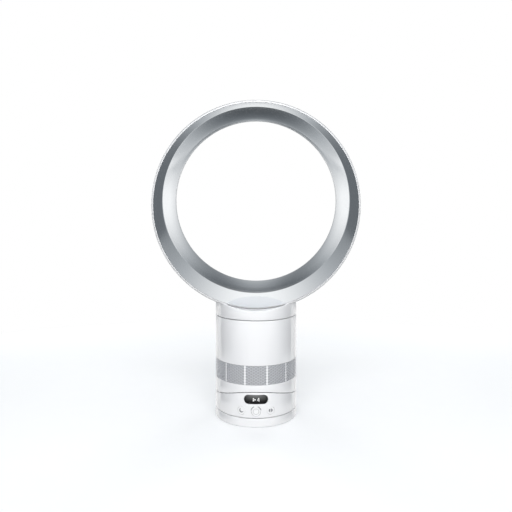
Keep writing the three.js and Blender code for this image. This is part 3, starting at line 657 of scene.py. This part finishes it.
# %% Neck skin
neck_edge = 1.2 * MM
duct_radius = 30 * MM
duct_ledge = 4.6 * MM
neck_depth = 7 * MM
neck_profile = plain([(skin_radius - wall, neck_low)] + lower_edge(neck_low))
neck_profile += riding(upper_edge(0, neck_edge, 6))
neck_profile += riding([(skin_radius * share, 0) for share in (0.9, 0.8, 0.7, 0.6)])
neck_profile += riding([
    (duct_radius, -duct_ledge),
    (duct_radius, -neck_depth),
    (skin_radius - wall, -neck_depth),
])
neck = carried_round("neck_skin", neck_profile, lifted(neck_saddle))
dress(neck, "loop", casing_white, "white_casing", "neck_collar")

# %% [markdown]
# ## Body
# The body is a plain tube above the intake and a short skirt below it. Its top carries the stepped spigot
# that the neck turns on. The two could be one mesh, but they are two mouldings, held apart by the intake
# band.

# %% Body skins
band_gap = 0.2 * MM
spigot_gap = 1.7 * MM
spigot_wall = 1.8 * MM
spigot_height = 6.4 * MM
shoulder = 2.6 * MM
body_low = grille_high + band_gap
spigot = skin_radius - wall - spigot_gap
body_profile = plain([(skin_radius - wall, body_low)] + lower_edge(body_low))
body_profile += plain(upper_edge(body_top))
body_profile += plain([
    (spigot, body_top),
    (spigot, body_top + spigot_height),
    (spigot - spigot_wall, body_top + spigot_height),
    (spigot - spigot_wall, body_top - shoulder),
    (skin_radius - wall, body_top - shoulder),
])
body = carried_round("body_skin", body_profile, lifted(neck_saddle))
dress(body, "body", casing_white, "white_casing", "upper_housing")

skirt_saddle = tilt_saddle(tilt_radius - tilt_seam / 2)
skirt_top = grille_low - band_gap
skirt_profile = riding([(skin_radius - wall, 0)] + lower_edge(0))
skirt_profile += plain(upper_edge(skirt_top) + [(skin_radius - wall, skirt_top)])
skirt = carried_round("skirt_skin", skirt_profile, lifted(skirt_saddle))
dress(skirt, "body", casing_white, "white_casing", "body_skirt")

# %% [markdown]
# ## Intake band
# The band is really perforated: round holes in twelve honeycomb panels. A picture of holes or a bump
# would be quicker, but it would look flat from the side. Each hole sits in a hexagonal cell, so the cells
# tile without gaps and a panel's upright edges zigzag. The cells are a hair narrower than true hexagons,
# to fit nine columns beside a plain strip.

# %% Sizes of the band
panels = 12
hole_rows = 7
hole_columns = 9
row_pitch = (grille_high - grille_low) / hole_rows
squeeze = 0.97
column_pitch = squeeze * row_pitch * math.sqrt(3) / 2
cell_reach = squeeze * row_pitch / math.sqrt(3)
hole_radius = row_pitch * 0.435
band_radius = high("intake_grille").x
band_thickness = 0.9 * MM
edge_parts = 3
cell_turns = 6 * edge_parts
panel_arc = 2 * math.pi * band_radius / panels
first_column = -(hole_columns - 1) / 2 * column_pitch
print("hole radius", hole_radius, "pitch", row_pitch)

# %% [markdown]
# A cell is drawn flat, as (along, height), and then laid on the band's curve at a depth below its
# surface. Its outer corners run along the hexagon and its inner ones round the hole, with as many of
# each, so that plain quads join them. Only cells at a panel's outline need a side wall.


# %% One cell of a panel
def band_place(along, height, depth):
    angle = along / band_radius
    radius = band_radius - depth
    return (radius * math.sin(angle), -radius * math.cos(angle), height)


def cell_edge(turn):
    """A point on the hexagon, counted from its right corner."""
    corner, part = divmod(turn % cell_turns, edge_parts)
    ends = [math.radians(60 * c) for c in (corner, corner + 1)]
    share = part / edge_parts
    across, up = ((1 - share) * f(ends[0]) + share * f(ends[1]) for f in (math.cos, math.sin))
    return across * cell_reach, up * cell_reach / squeeze


def on_rim(along, height):
    """Whether a cell's corner lies on the outline of its panel."""
    near = 0.001 * MM
    from_middle = abs((along + panel_arc / 2) % panel_arc - panel_arc / 2)
    border = min(abs(height - grille_high), abs(height - grille_low)) < near
    return border or from_middle > cell_reach / 2 - first_column - near


def add_cell(points, faces, along, height, turns, closed=False):
    """One cell with its hole: skin, hole wall and back, over the given turns."""
    start, count = len(points), len(turns)
    edges = [cell_edge(turn) for turn in turns]
    for turn, (across, up) in zip(turns, edges):
        angle = 2 * math.pi * turn / cell_turns
        rim = (along + hole_radius * math.cos(angle), height + hole_radius * math.sin(angle))
        outer = (along + across, height + up)
        for place, depth in ((outer, 0), (rim, 0), (rim, band_thickness), (outer, band_thickness)):
            points.append(band_place(*place, depth))
    walled = [on_rim(along + across, height + up) for across, up in edges]
    for i in range(count if closed else count - 1):
        j = (i + 1) % count
        a, b = start + 4 * i, start + 4 * j
        faces += [(a, b, b + 1, a + 1), (a + 1, b + 1, b + 2, a + 2), (a + 2, b + 2, b + 3, a + 3)]
        if walled[i] and walled[j]:
            faces.append((a, b, b + 3, a + 3))
    if not closed:
        faces += [(a, a + 1, a + 2, a + 3) for a in (start, start + 4 * (count - 1))]


# %% [markdown]
# The plain strip between two panels fills their zigzag, which scallops its sides. It could overlap the
# cells and hide the zigzag, but then two skins would lie in one another.


# %% One strip between panels
def add_strip(points, faces, along, length):
    """The plain strip right of a panel; its sides follow the zigzag of the cells."""
    steps_per_row = 2 * edge_parts
    start = len(points)
    for step in range(hole_rows * steps_per_row + 1):
        past = step % steps_per_row
        notch = min(past, steps_per_row - past) / edge_parts
        zigzag = cell_reach * (1 - notch / 2)
        height = grille_low + step * row_pitch / steps_per_row
        for depth in (0, band_thickness):
            points += [band_place(side, height, depth) for side in (along + zigzag, along + length - zigzag)]
    for step in range(hole_rows * steps_per_row):
        a = start + 4 * step
        faces += [(a, a + 1, a + 5, a + 4), (a + 2, a + 3, a + 7, a + 6)]
        faces += [(a, a + 2, a + 6, a + 4), (a + 1, a + 3, a + 7, a + 5)]
    last = len(points) - 4
    faces += [(start, start + 1, start + 3, start + 2), (last, last + 1, last + 3, last + 2)]


# %% [markdown]
# Columns of seven and six holes take turns, as in a honeycomb, and half cells end every other column at
# the band's upper and lower edge. All the cells become one mesh and all the strips another, because the
# cells are painted grey and the strips white. The grey is painted shade of the perforated panels: the band
# is one moulding of one colour.

# %% Perforated band
band_points, band_faces, strip_points, strip_faces = [], [], [], []
half_turns = cell_turns // 2
for panel in range(panels):
    for column in range(hole_columns):
        along = panel * panel_arc + first_column + column * column_pitch
        shift = 0.5 if column % 2 else 1
        for row in range(hole_rows if column % 2 else hole_rows - 1):
            height = grille_low + (row + shift) * row_pitch
            add_cell(band_points, band_faces, along, height, range(cell_turns), closed=True)
        if column % 2 == 0:
            add_cell(band_points, band_faces, along, grille_low, range(half_turns + 1))
            add_cell(band_points, band_faces, along, grille_high, range(half_turns, cell_turns + 1))
    add_strip(strip_points, strip_faces, panel * panel_arc - first_column, panel_arc + 2 * first_column)
band = mesh_object("intake_band", band_points, band_faces, 30)
dress(band, "body", grille_grey, "intake_grille", "intake_grille")
strips = mesh_object("band_strips", strip_points, strip_faces, 30)
dress(strips, "body", casing_white, "intake_grille")

# %% [markdown]
# ## Shade sleeve
# A grey sleeve stands just behind the holes, so that the band reads as grey from a distance and nobody
# sees the works. It is painted shade: a matt grey sleeve in place of the shaded inside seen through the holes.


# %% Shade sleeve behind the holes
def sleeve(outer, thickness, bottom, top):
    """The section of a plain ring."""
    inner = outer - thickness
    return [(inner, bottom), (outer, bottom), (outer, top), (inner, top)]


shade_sleeve_gap = 0.3 * MM
shade_sleeve_depth = 0.4 * MM
shade_sleeve_section = sleeve(band_radius - band_thickness - shade_sleeve_gap, shade_sleeve_depth, grille_low, grille_high)
# The sleeve's grey is painted shade: it stands in for the shaded inside seen through the holes.
dress(carried_round("dust_mesh", shade_sleeve_section, about_z), "body", mesh_grey, "dark_plastic")

# %% [markdown]
# ## Shapes laid on the drum
# The window, the keys and the marks are all drawn flat and then laid on the drum's curve. An outline is a
# function of its inset, so one outline gives a whole cap: row after row, each a little further in and at
# its own depth.


# %% Outlines and caps
def round_outline(radius, count=96):
    def outline(inset):
        size = max(radius - inset, 1e-6)
        turns = [2 * math.pi * i / count for i in range(count)]
        return [(size * math.cos(t), size * math.sin(t)) for t in turns]
    return outline


def pill_outline(width, height, count=64, straight_steps=12):
    def outline(inset):
        radius = max(height / 2 - inset, 1e-6)
        straight = width / 2 - height / 2
        right = arc((straight, 0), radius, -90, 90, count // 2)
        left = arc((-straight, 0), radius, 90, 270, count // 2)
        along = [straight - 2 * straight * i / straight_steps for i in range(1, straight_steps)]
        return right + [(x, radius) for x in along] + left + [(-x, -radius) for x in along]
    return outline


def on_drum(across, up, radius, angle, middle):
    """A point drawn flat at (across, up), laid on the drum round a given angle in degrees."""
    turn = math.radians(angle) + across / body_radius
    return (radius * math.sin(turn), -radius * math.cos(turn), middle + up)


def inlay(name, outline, rows, angle, middle):
    """A closed cap whose rows are (inset from the outline, radius on the drum), from back to front."""
    loops = [[on_drum(x, z, radius, angle, middle) for x, z in outline(inset)] for inset, radius in rows]
    count = len(loops[0])
    points = [point for loop in loops for point in loop]
    faces = []
    for i in range(len(loops) - 1):
        for j in range(count):
            k = (j + 1) % count
            faces.append((i * count + j, i * count + k, (i + 1) * count + k, (i + 1) * count + j))
    return mesh_object(name, points, faces, 40)


# %% [markdown]
# ## Control drum
# The drum's skin is turned like the body's, and its rim follows the tilt saddle. Its openings for the
# window and the three keys are cut with closed plugs of their own outlines, a third of a millimetre
# larger, so their edges stay true circles on the curved wall.

# %% Drum skin
drum_saddle = tilt_saddle(tilt_radius + tilt_seam / 2)
drum_profile = plain([(skin_radius - wall, drum_low)] + lower_edge(drum_low))
drum_profile += riding(upper_edge(0) + [(skin_radius - wall, 0)])
drum = carried_round("drum_skin", drum_profile, lifted(drum_saddle), 256)

key_gap = 0.35 * MM
window_gap = 0.3 * MM
window_size = (40 * MM, 14.7 * MM)
window_middle = (low("display_window").z + high("display_window").z) / 2
key_specs = {
    "power_button": ("power_key", 7.5 * MM, 0),
    "night_button": ("night_key", 6.5 * MM, -20),
    "swing_button": ("swing_key", 6.5 * MM, 20),
}
plug_inside = 50 * MM
plug_outside = 80 * MM


def key_middle(node):
    return (low(node).z + high(node).z) / 2


def plug(outline, half, angle, middle):
    """A closed cutter through the drum's wall; half is half the outline's height."""
    rows = [(half, plug_inside), (0, plug_inside), (0, plug_outside), (half, plug_outside)]
    return inlay("cutter", outline, rows, angle, middle)


cutters = [plug(round_outline(radius + key_gap), radius, angle, key_middle(node))
           for node, (_, radius, angle) in key_specs.items()]
window_opening = [size + 2 * window_gap for size in window_size]
cutters.append(plug(pill_outline(*window_opening), window_opening[1] / 2, 0, window_middle))
carved(drum, cutters)
dress(drum, "drum", casing_white, "white_casing", "control_drum")

# %% [markdown]
# ## Keys and window
# Keys and window share one builder. Rows run from the back of the lip, over the rounded rim, to the
# middle of the face. Flat discs would look painted on; the key faces are dished by a quarter of a
# millimetre instead, enough to catch a ring of light.


# %% Cap builder
def dished(half, face, rim, dish):
    """Radius on the drum of a cap's face, at a given inset from its outline."""
    return lambda inset: face - dish * max((inset - rim) / (half - rim), 0) ** 0.5


cap_lip = 1 * MM
lip_gap = 0.3 * MM
lip_thickness = 1.4 * MM
rim_angles = (22, 45, 67, 90)
face_shares = (0.1, 0.25, 0.4, 0.6, 0.8, 1)


def cap_rows(half, rim, surface):
    lip_front = body_radius - wall - lip_gap
    lip_back = lip_front - lip_thickness
    face = surface(0)
    rows = [(half, lip_back), (-cap_lip, lip_back), (-cap_lip, lip_front), (0, lip_front), (0, face - rim)]
    for turn in map(math.radians, rim_angles):
        rows.append((rim * (1 - math.cos(turn)), face - rim * (1 - math.sin(turn))))
    insets = [rim + (half - rim) * share for share in face_shares]
    return rows + [(inset, surface(inset)) for inset in insets]


# %% [markdown]
# The keys stand a tenth of a millimetre behind the drum's surface and the window a little deeper, so a
# fine shadow rings each of them. The dish of every key is kept, because the marks have to lie on it.

# %% Keys and window
key_rim = 0.5 * MM
key_depth = 0.1 * MM
key_dish = 0.25 * MM
key_surface = {}
for node, (body_name, radius, angle) in key_specs.items():
    key_surface[node] = dished(radius, body_radius - key_depth, key_rim, key_dish)
    rows = cap_rows(radius, key_rim, key_surface[node])
    key = inlay(node + "_cap", round_outline(radius), rows, angle, key_middle(node))
    dress(key, body_name, key_white, "button_white", node)

window_rim = 0.4 * MM
window_depth = 0.15 * MM
window_half = window_size[1] / 2
window_surface = dished(window_half, body_radius - window_depth, window_rim, 0)
window_rows = cap_rows(window_half, window_rim, window_surface)
window = inlay("window_cap", pill_outline(*window_size), window_rows, 0, window_middle)
dress(window, "drum", window_glass, "display_glass", "display_window")

# %% [markdown]
# ## Marks
# The marks are printed: a crescent, a ring with a tick, two arcs round the large key and a pair of arrows
# for the swing. They could be painted in a material, but thin inked shapes stay sharp at any distance.
# Each is a flat outline between two lines, laid on the curve a few hundredths of a millimetre from the
# surface.

# %% Mark builder
ink_depth = 0.03 * MM
ink_thickness = 0.02 * MM


def mark(name, inner, outer, lie, angle, middle):
    """An inked shape between two lines of equal length; lie(x, z) is its radius on the drum."""
    count = len(inner)
    points = [on_drum(x, z, lie(x, z), angle, middle) for x, z in list(inner) + list(outer)]
    faces = [(i, i + 1, count + i + 1, count + i) for i in range(count - 1)]
    piece = mesh_object(name, points, faces)
    ink = piece.modifiers.new("ink", "SOLIDIFY")
    ink.thickness = ink_thickness
    ink.offset = 0
    return piece


def key_mark(name, node, inner, outer, ink):
    """A mark on the dished face of a key."""
    body_name, radius, angle = key_specs[node]

    def lie(x, z):
        return key_surface[node](radius - math.hypot(x, z)) + ink_depth

    piece = mark(name, inner, outer, lie, angle, key_middle(node))
    return dress(piece, body_name, ink, "button_white")


# %% [markdown]
# An arc is two arcs of the same angles, one inside the other. The crescent is two circles that cut each
# other: its outer line runs the long way round the first one, from one crossing to the other, and its
# inner line does so on the second one, which is smaller and further up and to the right.

# %% Marks on the drum and the keys
arc_inner, arc_outer = 8.1 * MM, 9.1 * MM
for name, start, end in (("left_arc", 112, 166), ("right_arc", 14, 68)):
    inner, outer = (arc((0, 0), radius, start, end, 24) for radius in (arc_inner, arc_outer))
    piece = mark(name, inner, outer, lambda x, z: body_radius - ink_depth, 0, key_middle("power_button"))
    dress(piece, "drum", ink_grey, "white_casing")

ring_inner, ring_outer = 4.2 * MM, 5.1 * MM
ring = [arc((0, 0), radius, 120, 420, 48) for radius in (ring_inner, ring_outer)]
key_mark("power_ring", "power_button", *ring, ink_pale)

tick_half, tick_low, tick_high = 0.45 * MM, 2.2 * MM, 5.6 * MM
tick = [[(side * tick_half, tick_low), (side * tick_half, tick_high)] for side in (-1, 1)]
key_mark("power_tick", "power_button", *tick, ink_pale)

moon_radius, moon_cut, moon_shift = 3.6 * MM, 2.9 * MM, 1.25 * MM
moon = [arc((0, 0), moon_radius, 97.9, 352.1, 32), arc((moon_shift, moon_shift), moon_cut, 127, 323, 32)]
key_mark("crescent", "night_button", *moon, ink_grey)

arrow_gap, arrow_reach = 0.7 * MM, 2.8 * MM
arrow_bow = arc((arrow_gap, 0), arrow_reach, -90, 90, 12)
for name, side in (("swing_left", -1), ("swing_right", 1)):
    bow = [(side * x, z) for x, z in arrow_bow]
    string = [(side * arrow_gap, z) for x, z in bow]
    key_mark(name, "swing_button", string, bow, ink_grey)

# %% [markdown]
# ## Display figures
# The propeller is three leaf shapes round a small hub. The figure is drawn as straight strokes, so it
# belongs to no typeface. Both lie just in front of the glass and glow a little, as lit segments do.

# %% Display figures
figure_radius = body_radius - 0.08 * MM
figure_middle = window_middle - 0.4 * MM
stroke_width = 0.75 * MM


def lit_mark(name, inner, outer):
    piece = mark(name, inner, outer, lambda x, z: figure_radius, 0, figure_middle)
    return dress(piece, "drum", figure_light, "display_glass")


def stroke(name, start, end):
    """A straight bar; its ends are given in millimetres."""
    (x0, z0), (x1, z1) = start, end
    length = math.hypot(x1 - x0, z1 - z0)
    ox, oz = (z0 - z1) / length * stroke_width / 2, (x1 - x0) / length * stroke_width / 2
    lines = [[(x * MM + side * ox, z * MM + side * oz) for x, z in (start, end)] for side in (1, -1)]
    return lit_mark(name, *lines)


hub_reach, blade_length, blade_half = 0.4 * MM, 2.7 * MM, 1.15 * MM
hub_across = -3.4 * MM
for blade in range(3):
    turn = math.radians(120 * blade)
    leaf, spine = [], []
    for i in range(13):
        t = i / 12
        reach = hub_reach + blade_length * t
        width = blade_half * math.sin(math.pi * min(t * 1.05, 1)) ** 0.7
        for line, z in ((leaf, width), (spine, -width)):
            x_turned = reach * math.cos(turn) - z * math.sin(turn)
            z_turned = reach * math.sin(turn) + z * math.cos(turn)
            line.append((x_turned + hub_across, z_turned))
    lit_mark(f"propeller_{blade + 1}", leaf, spine)

stroke("four_slope", (4.7, 2.9), (2.2, -1.1))
stroke("four_bar", (2.0, -1.2), (5.9, -1.2))
stroke("four_stem", (4.8, 3.1), (4.8, -3.0))

# %% [markdown]
# ## Foot
# The foot is a low ring with a rounded lower edge. A bay is cut from its back for the power inlet, a
# little larger than the inlet itself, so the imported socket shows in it.

# %% Foot skin
foot_gap = 0.3 * MM
foot_round = 1.4 * MM
bay_gap = 0.3 * MM
bay_depth = 40 * MM
foot_inner = high("base_plate").x + foot_gap
foot_profile = [(foot_inner, foot_low)] + lower_edge(foot_low, foot_round, 10)
foot_profile += upper_edge(foot_top) + [(foot_inner, foot_top)]
foot = carried_round("foot_skin", foot_profile, about_z, 256)
inlet_low, inlet_high = low("power_inlet"), high("power_inlet")
inlet_size = inlet_high - inlet_low
bpy.ops.mesh.primitive_cube_add(size=1)
bay = bpy.context.object
bay.scale = (inlet_size.x + 2 * bay_gap, bay_depth, inlet_size.z + 2 * bay_gap)
bay.location = (0, body_radius, (inlet_low.z + inlet_high.z) / 2)
carved(foot, [bay])
dress(foot, "foot", casing_white, "white_casing", "foot_skirt")

# %% [markdown]
# ## Seam rings
# Two dark rings paint the shadow in two seams from inside: a black ring between foot and drum, and a grey
# bead under the front lip of the loop, where it rests on the neck. They stand in for the shade in those
# seams. Without them the seams would glow with light from the white walls.

# %% Dark ring painted as seam shadow
seam_shade_gap = 0.2 * MM
seam_shade_bottom_gap = 0.15 * MM
seam_shade_rise = 2 * MM
seam_shade_outer = skin_radius - wall - seam_shade_gap
seam_shade_width = seam_shade_outer - foot_inner - seam_shade_gap
seam_shade_section = sleeve(seam_shade_outer, seam_shade_width, foot_top + seam_shade_bottom_gap, foot_top + seam_shade_rise)
# The dark ring is painted shadow: it darkens the seam between foot and drum from inside.
dress(carried_round("felt_ring", seam_shade_section, about_z), "drum", soft_rubber, "rubber")

# %% [markdown]
# The bead is a short round rod of painted shadow, in a dark grey. It follows the casing's circle for sixteen
# degrees each way from the lowest point, which is as far as the neck reaches.


# %% Lip bead painted as seam shadow
def about_casing(corner, angle):
    radius, place = corner
    return (radius * math.sin(angle), place, casing_axis + radius * math.cos(angle))


bead_radius = 0.36 * MM
bead_sides = 8
bead_reach = 16
bead_centre = (saddle_radius - 0.3 * MM, edge_place - 0.1 * MM)
bead_turns = [math.radians(180 + i) for i in range(-bead_reach, bead_reach + 1)]
bead_ring = arc(bead_centre, bead_radius, 0, 360 - 360 / bead_sides, bead_sides - 1)
bead_points = [about_casing(corner, turn) for turn in bead_turns for corner in bead_ring]
bead_faces = []
for i in range(0, bead_sides * (len(bead_turns) - 1), bead_sides):
    for j in range(bead_sides):
        k = (j + 1) % bead_sides
        bead_faces.append((i + j, i + k, i + bead_sides + k, i + bead_sides + j))
bead_faces += [tuple(range(bead_sides)), tuple(range(len(bead_points) - bead_sides, len(bead_points)))]
# The grey bead is painted shadow: it draws the dark line under the loop's front lip.
dress(mesh_object("lip_bead", bead_points, bead_faces, 50), "loop", bead_grey, "rubber")

# %% [markdown]
# ## Carried parts
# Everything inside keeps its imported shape: it is seen only through the seams, the slot and the inlet's
# bay, or with the body tilted. Each part takes a finish by its slot in the record, from the list below.

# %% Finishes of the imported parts
finish_of_slot = {
    "white_casing": casing_white,
    "button_white": key_white,
    "loop_silver": loop_silver,
    "intake_grille": grille_grey,
    "display_glass": window_glass,
    "black_plastic": black_plastic,
    "dark_plastic": dark_plastic,
    "nylon": pale_nylon,
    "rubber": soft_rubber,
    "steel": plain_steel,
    "copper": copper_wire,
    "circuit_board": board_green,
    "foam": open_foam,
}
slot_of_node = {row["node"]: row["material_slot"] for row in frame["record"]["subparts"]}
for name, node in nodes.items():
    node.data.materials.clear()
    node.data.materials.append(finish_of_slot[slot_of_node[name]])
print("finished", len(nodes), "packed parts")

# %% [markdown]
# ## What reflections see
# Gloss and silver show their surroundings, so those are drawn rather than lit. To the lens, and through
# glass, the world and the floor are plain white. In a reflection they carry soft dark shapes, as black
# cards would give beside a real set. Real cards would do the same, but each would also throw its own
# shadow on the floor, so the shapes are drawn in the world's own shade and only reflections meet them.
# Greys between black and white are made a little cool, because a grey card in daylight looks so.


# %% Light paths and cool greys
def light_paths(maker):
    """Two switches: seen by the lens (also through glass), and seen in a reflection."""
    path = maker.node("LightPath")
    lens, mirror, glass = (Value(maker.tree, path.outputs[f"Is {kind} Ray"])
                           for kind in ("Camera", "Glossy", "Transmission"))
    return (lens + glass).clamped(), mirror


grey_stops = [(0, (0, 0, 0)), (0.15, (0.137, 0.15, 0.163)), (0.45, (0.43, 0.45, 0.468)), (1, (1, 1, 1))]


def cool_grey(maker, level):
    """A grey of that brightness; black and white stay plain, and what lies between is a little cool."""
    return maker.node("ValToRGB", {"stops": grey_stops}, Fac=level).outputs[0]


# %% [markdown]
# The world behind the fan is seen in the flare, so it is dark above and white to the sides. A pale streak
# straight above gives the highlight at the flare's lowest point. The flare's inner rim looks almost
# straight back, and the rim of the crest looks furthest up: there the shade grows darker, which draws the
# fine line under the crest. The world beside the fan is seen in the band and the tube, so it is dark at
# the sides and white above. In front of the fan it is white.


# %% Surround
def shade_behind(sideways, back, up):
    """Brightness behind the fan; sideways is 0 straight up or down and 1 level with the fan."""
    dark, climb, falloff = 0.11, 0.93, 1.7
    streak, narrow = 0.2, 12
    lower_half = 0.83
    shade = dark + climb * sideways ** falloff + streak * (1 - sideways) ** narrow
    shade = shade * (lower_half + (1 - lower_half) * up.above(-0.1, 0.2))
    inner_rim = (back - 0.7).clamped()
    shade = shade + inner_rim * (0.5 - 1.4 * sideways)
    crest_line = (1 - back.above(0.68, 0.04)) * (1 - sideways) ** 3
    return shade * (1 - 0.5 * crest_line)


def shade_beside(sideways, back):
    dark, climb, falloff = 0.15, 0.79, 2.75
    shade = dark + climb * (1 - sideways) ** falloff
    front = (-back).above(0.5, 0.5)
    return shade + front * (1 - shade)


def surround_shade(maker):
    """Brightness of the surround in a reflection that leaves the fan in the given direction."""
    across, back, up = maker.parts(maker.node("TexCoord").outputs["Generated"])
    sideways = across * across / (across * across + up * up)
    corner, lean, blur = 0.4, 0.165, 0.03
    rear = (back - corner - lean * (1 - sideways)).above(0, blur)
    return rear * shade_behind(sideways, back, up) + (1 - rear) * shade_beside(sideways, back)


stray_level = 0.1
world = bpy.data.worlds.new("surround")
bpy.context.scene.world = world
sky = Maker("surround", world)
lens, mirror = light_paths(sky)
level = stray_level + (1 - stray_level) * lens + mirror * (surround_shade(sky) - stray_level)
sky.set(Color=cool_grey(sky, level), Strength=1)
print("world", world.name)

# %% [markdown]
# ## What the floor shows
# The fan's surfaces look at the floor in two ways. The upright tube sees it at a flat glance, and the
# flare and the lower half of the band see it steeply. Gloss on satin paper changes with that slope too,
# so the floor has two shades and lets the slope choose. At a flat glance it is bright or dark by the
# direction in which a place lies from the tube's wall. At a steep one it darkens behind the fan, and in
# front it is bright in the middle.


# %% Shades of the floor
def flat_shade(across, back):
    """What the tube's edges see: bright behind, dark to the side, brighter again to the front."""
    def facing_back(x, y):
        """1 for places straight behind a point on the tube's wall, 0 beside it and -1 in front of it."""
        sideways, behind = across - x, back - y
        return behind / (sideways * sideways + behind * behind) ** 0.5

    side_wall, front_wall = (0.06, -0.03), (0.04, -0.052)
    dark = 0.07
    behind = facing_back(*side_wall).above(0.44, 0.1)
    ahead = (-facing_back(*front_wall)).clamped() ** 1.2
    shade = dark + (1 - dark) * (behind + ahead)
    return shade * (1 - 0.4 * back.above(0.9, 0.25))


def steep_shade(across, back):
    """What the flare and the band's lower half see."""
    cube = across * across * across
    aside = cube / (cube + 0.055)
    darkness = (0.92 - 0.2 * (back - 0.34).clamped()) * (1 - aside) + 0.3 * aside
    behind = 1 - back.above(0.22, 0.1) * darkness
    ahead = 0.25 + 0.77 / (1 + (across * 4) ** 2.2)
    return ahead + back.above(-0.05, 0.1) * (behind - ahead)


def floor_shade(maker):
    across, back, _ = maker.parts(maker.node("NewGeometry").outputs["Position"])
    across = across.math("ABSOLUTE", 0)
    flat = flat_shade(across, back)
    slope = 1 - maker.value(maker.node("LayerWeight"), "Facing")
    return flat + slope.above(0.33, 0.08) * (steep_shade(across, back) - flat)


# %% [markdown]
# ## Floor
# To the lens the floor is white paper that takes the fan's shadow. Part of that white is its own glow,
# and far from the fan all of it is, so the floor's edge melts into the white behind it. To stray light
# the paper is a little darker, which keeps the underside of the fan from glowing.

# %% Floor
floor_size = (2.4, 2.2, 1)
floor_middle = (0, 0.4, 0)
bpy.ops.mesh.primitive_plane_add(size=1, location=floor_middle)
floor = bpy.context.object
floor.name = "floor"
floor.scale = floor_size

paper = Maker("floor_paper")
lens, mirror = light_paths(paper)
paper_white = 1.0 - 0.02 * paper.noise(60, 3)
paper_stray = 0.62
fade_width, fade_depth, fade_middle = 1.2, 0.8, 0.1
across, back, _ = paper.parts(paper.node("NewGeometry").outputs["Position"])
across, back = across / fade_width, (back - fade_middle) / fade_depth
far = ((across * across + back * back) ** 0.5).above(0.65, 0.5)
near_glow = 0.22
own_white = near_glow + (1 - near_glow) * far
tone = (1 - mirror) * (paper_stray + lens * (paper_white * (1 - own_white) - paper_stray))
glow = mirror * floor_shade(paper) + lens * own_white
paper.set(
    Base_Color=paper.mix(tone, (0, 0, 0), (1, 1, 1)),
    Roughness=0.95,
    Specular_IOR_Level=0.0,
    Emission_Color=cool_grey(paper, glow),
    Emission_Strength=1,
)
floor.data.materials.append(paper.material)
print("floor", floor.scale[:2])

# %% [markdown]
# ## Lamps
# The lamps only light the fan to a plain level, at which a white looks white without clipping. One wide
# panel in front does most of it, a high one overhead evens it out and draws the shadow, and two behind
# brighten the tube's edges. A brighter set would also whiten the floor, but the pale casing would lose
# its form. No lamp shows in a reflection: the surround stands in for all of them.


# %% Lamps
def soft_light(name, place, target, size, brightness):
    """A lamp panel; brightness is how many times whiter than white its face is."""
    data = bpy.data.lights.new(name, "AREA")
    data.shape = "RECTANGLE"
    data.size, data.size_y = size
    data.energy = brightness * math.pi * size[0] * size[1]
    lamp = bpy.data.objects.new(name, data)
    lamp.location = place
    lamp.visible_camera = False
    lamp.visible_glossy = False
    lamp.rotation_euler = (Vector(target) - lamp.location).to_track_quat("-Z", "Y").to_euler()
    bpy.context.scene.collection.objects.link(lamp)


soft_light("front_light", (0, -1.7, 1.2), (0, 0, 0.25), (1.8, 1.4), 4.75)
soft_light("top_light", (0, -0.3, 3.4), (0, 0, 0), (2.6, 3.0), 1.65)
for side, hand in ((-1, "left"), (1, "right")):
    soft_light(f"{hand}_rim_light", (side * 0.8, 1.2, 0.5), (0, 0, 0.3), (0.6, 1.0), 4.5)
bpy.context.scene.view_settings.view_transform = "Standard"
print("lamps", len(bpy.data.lights))
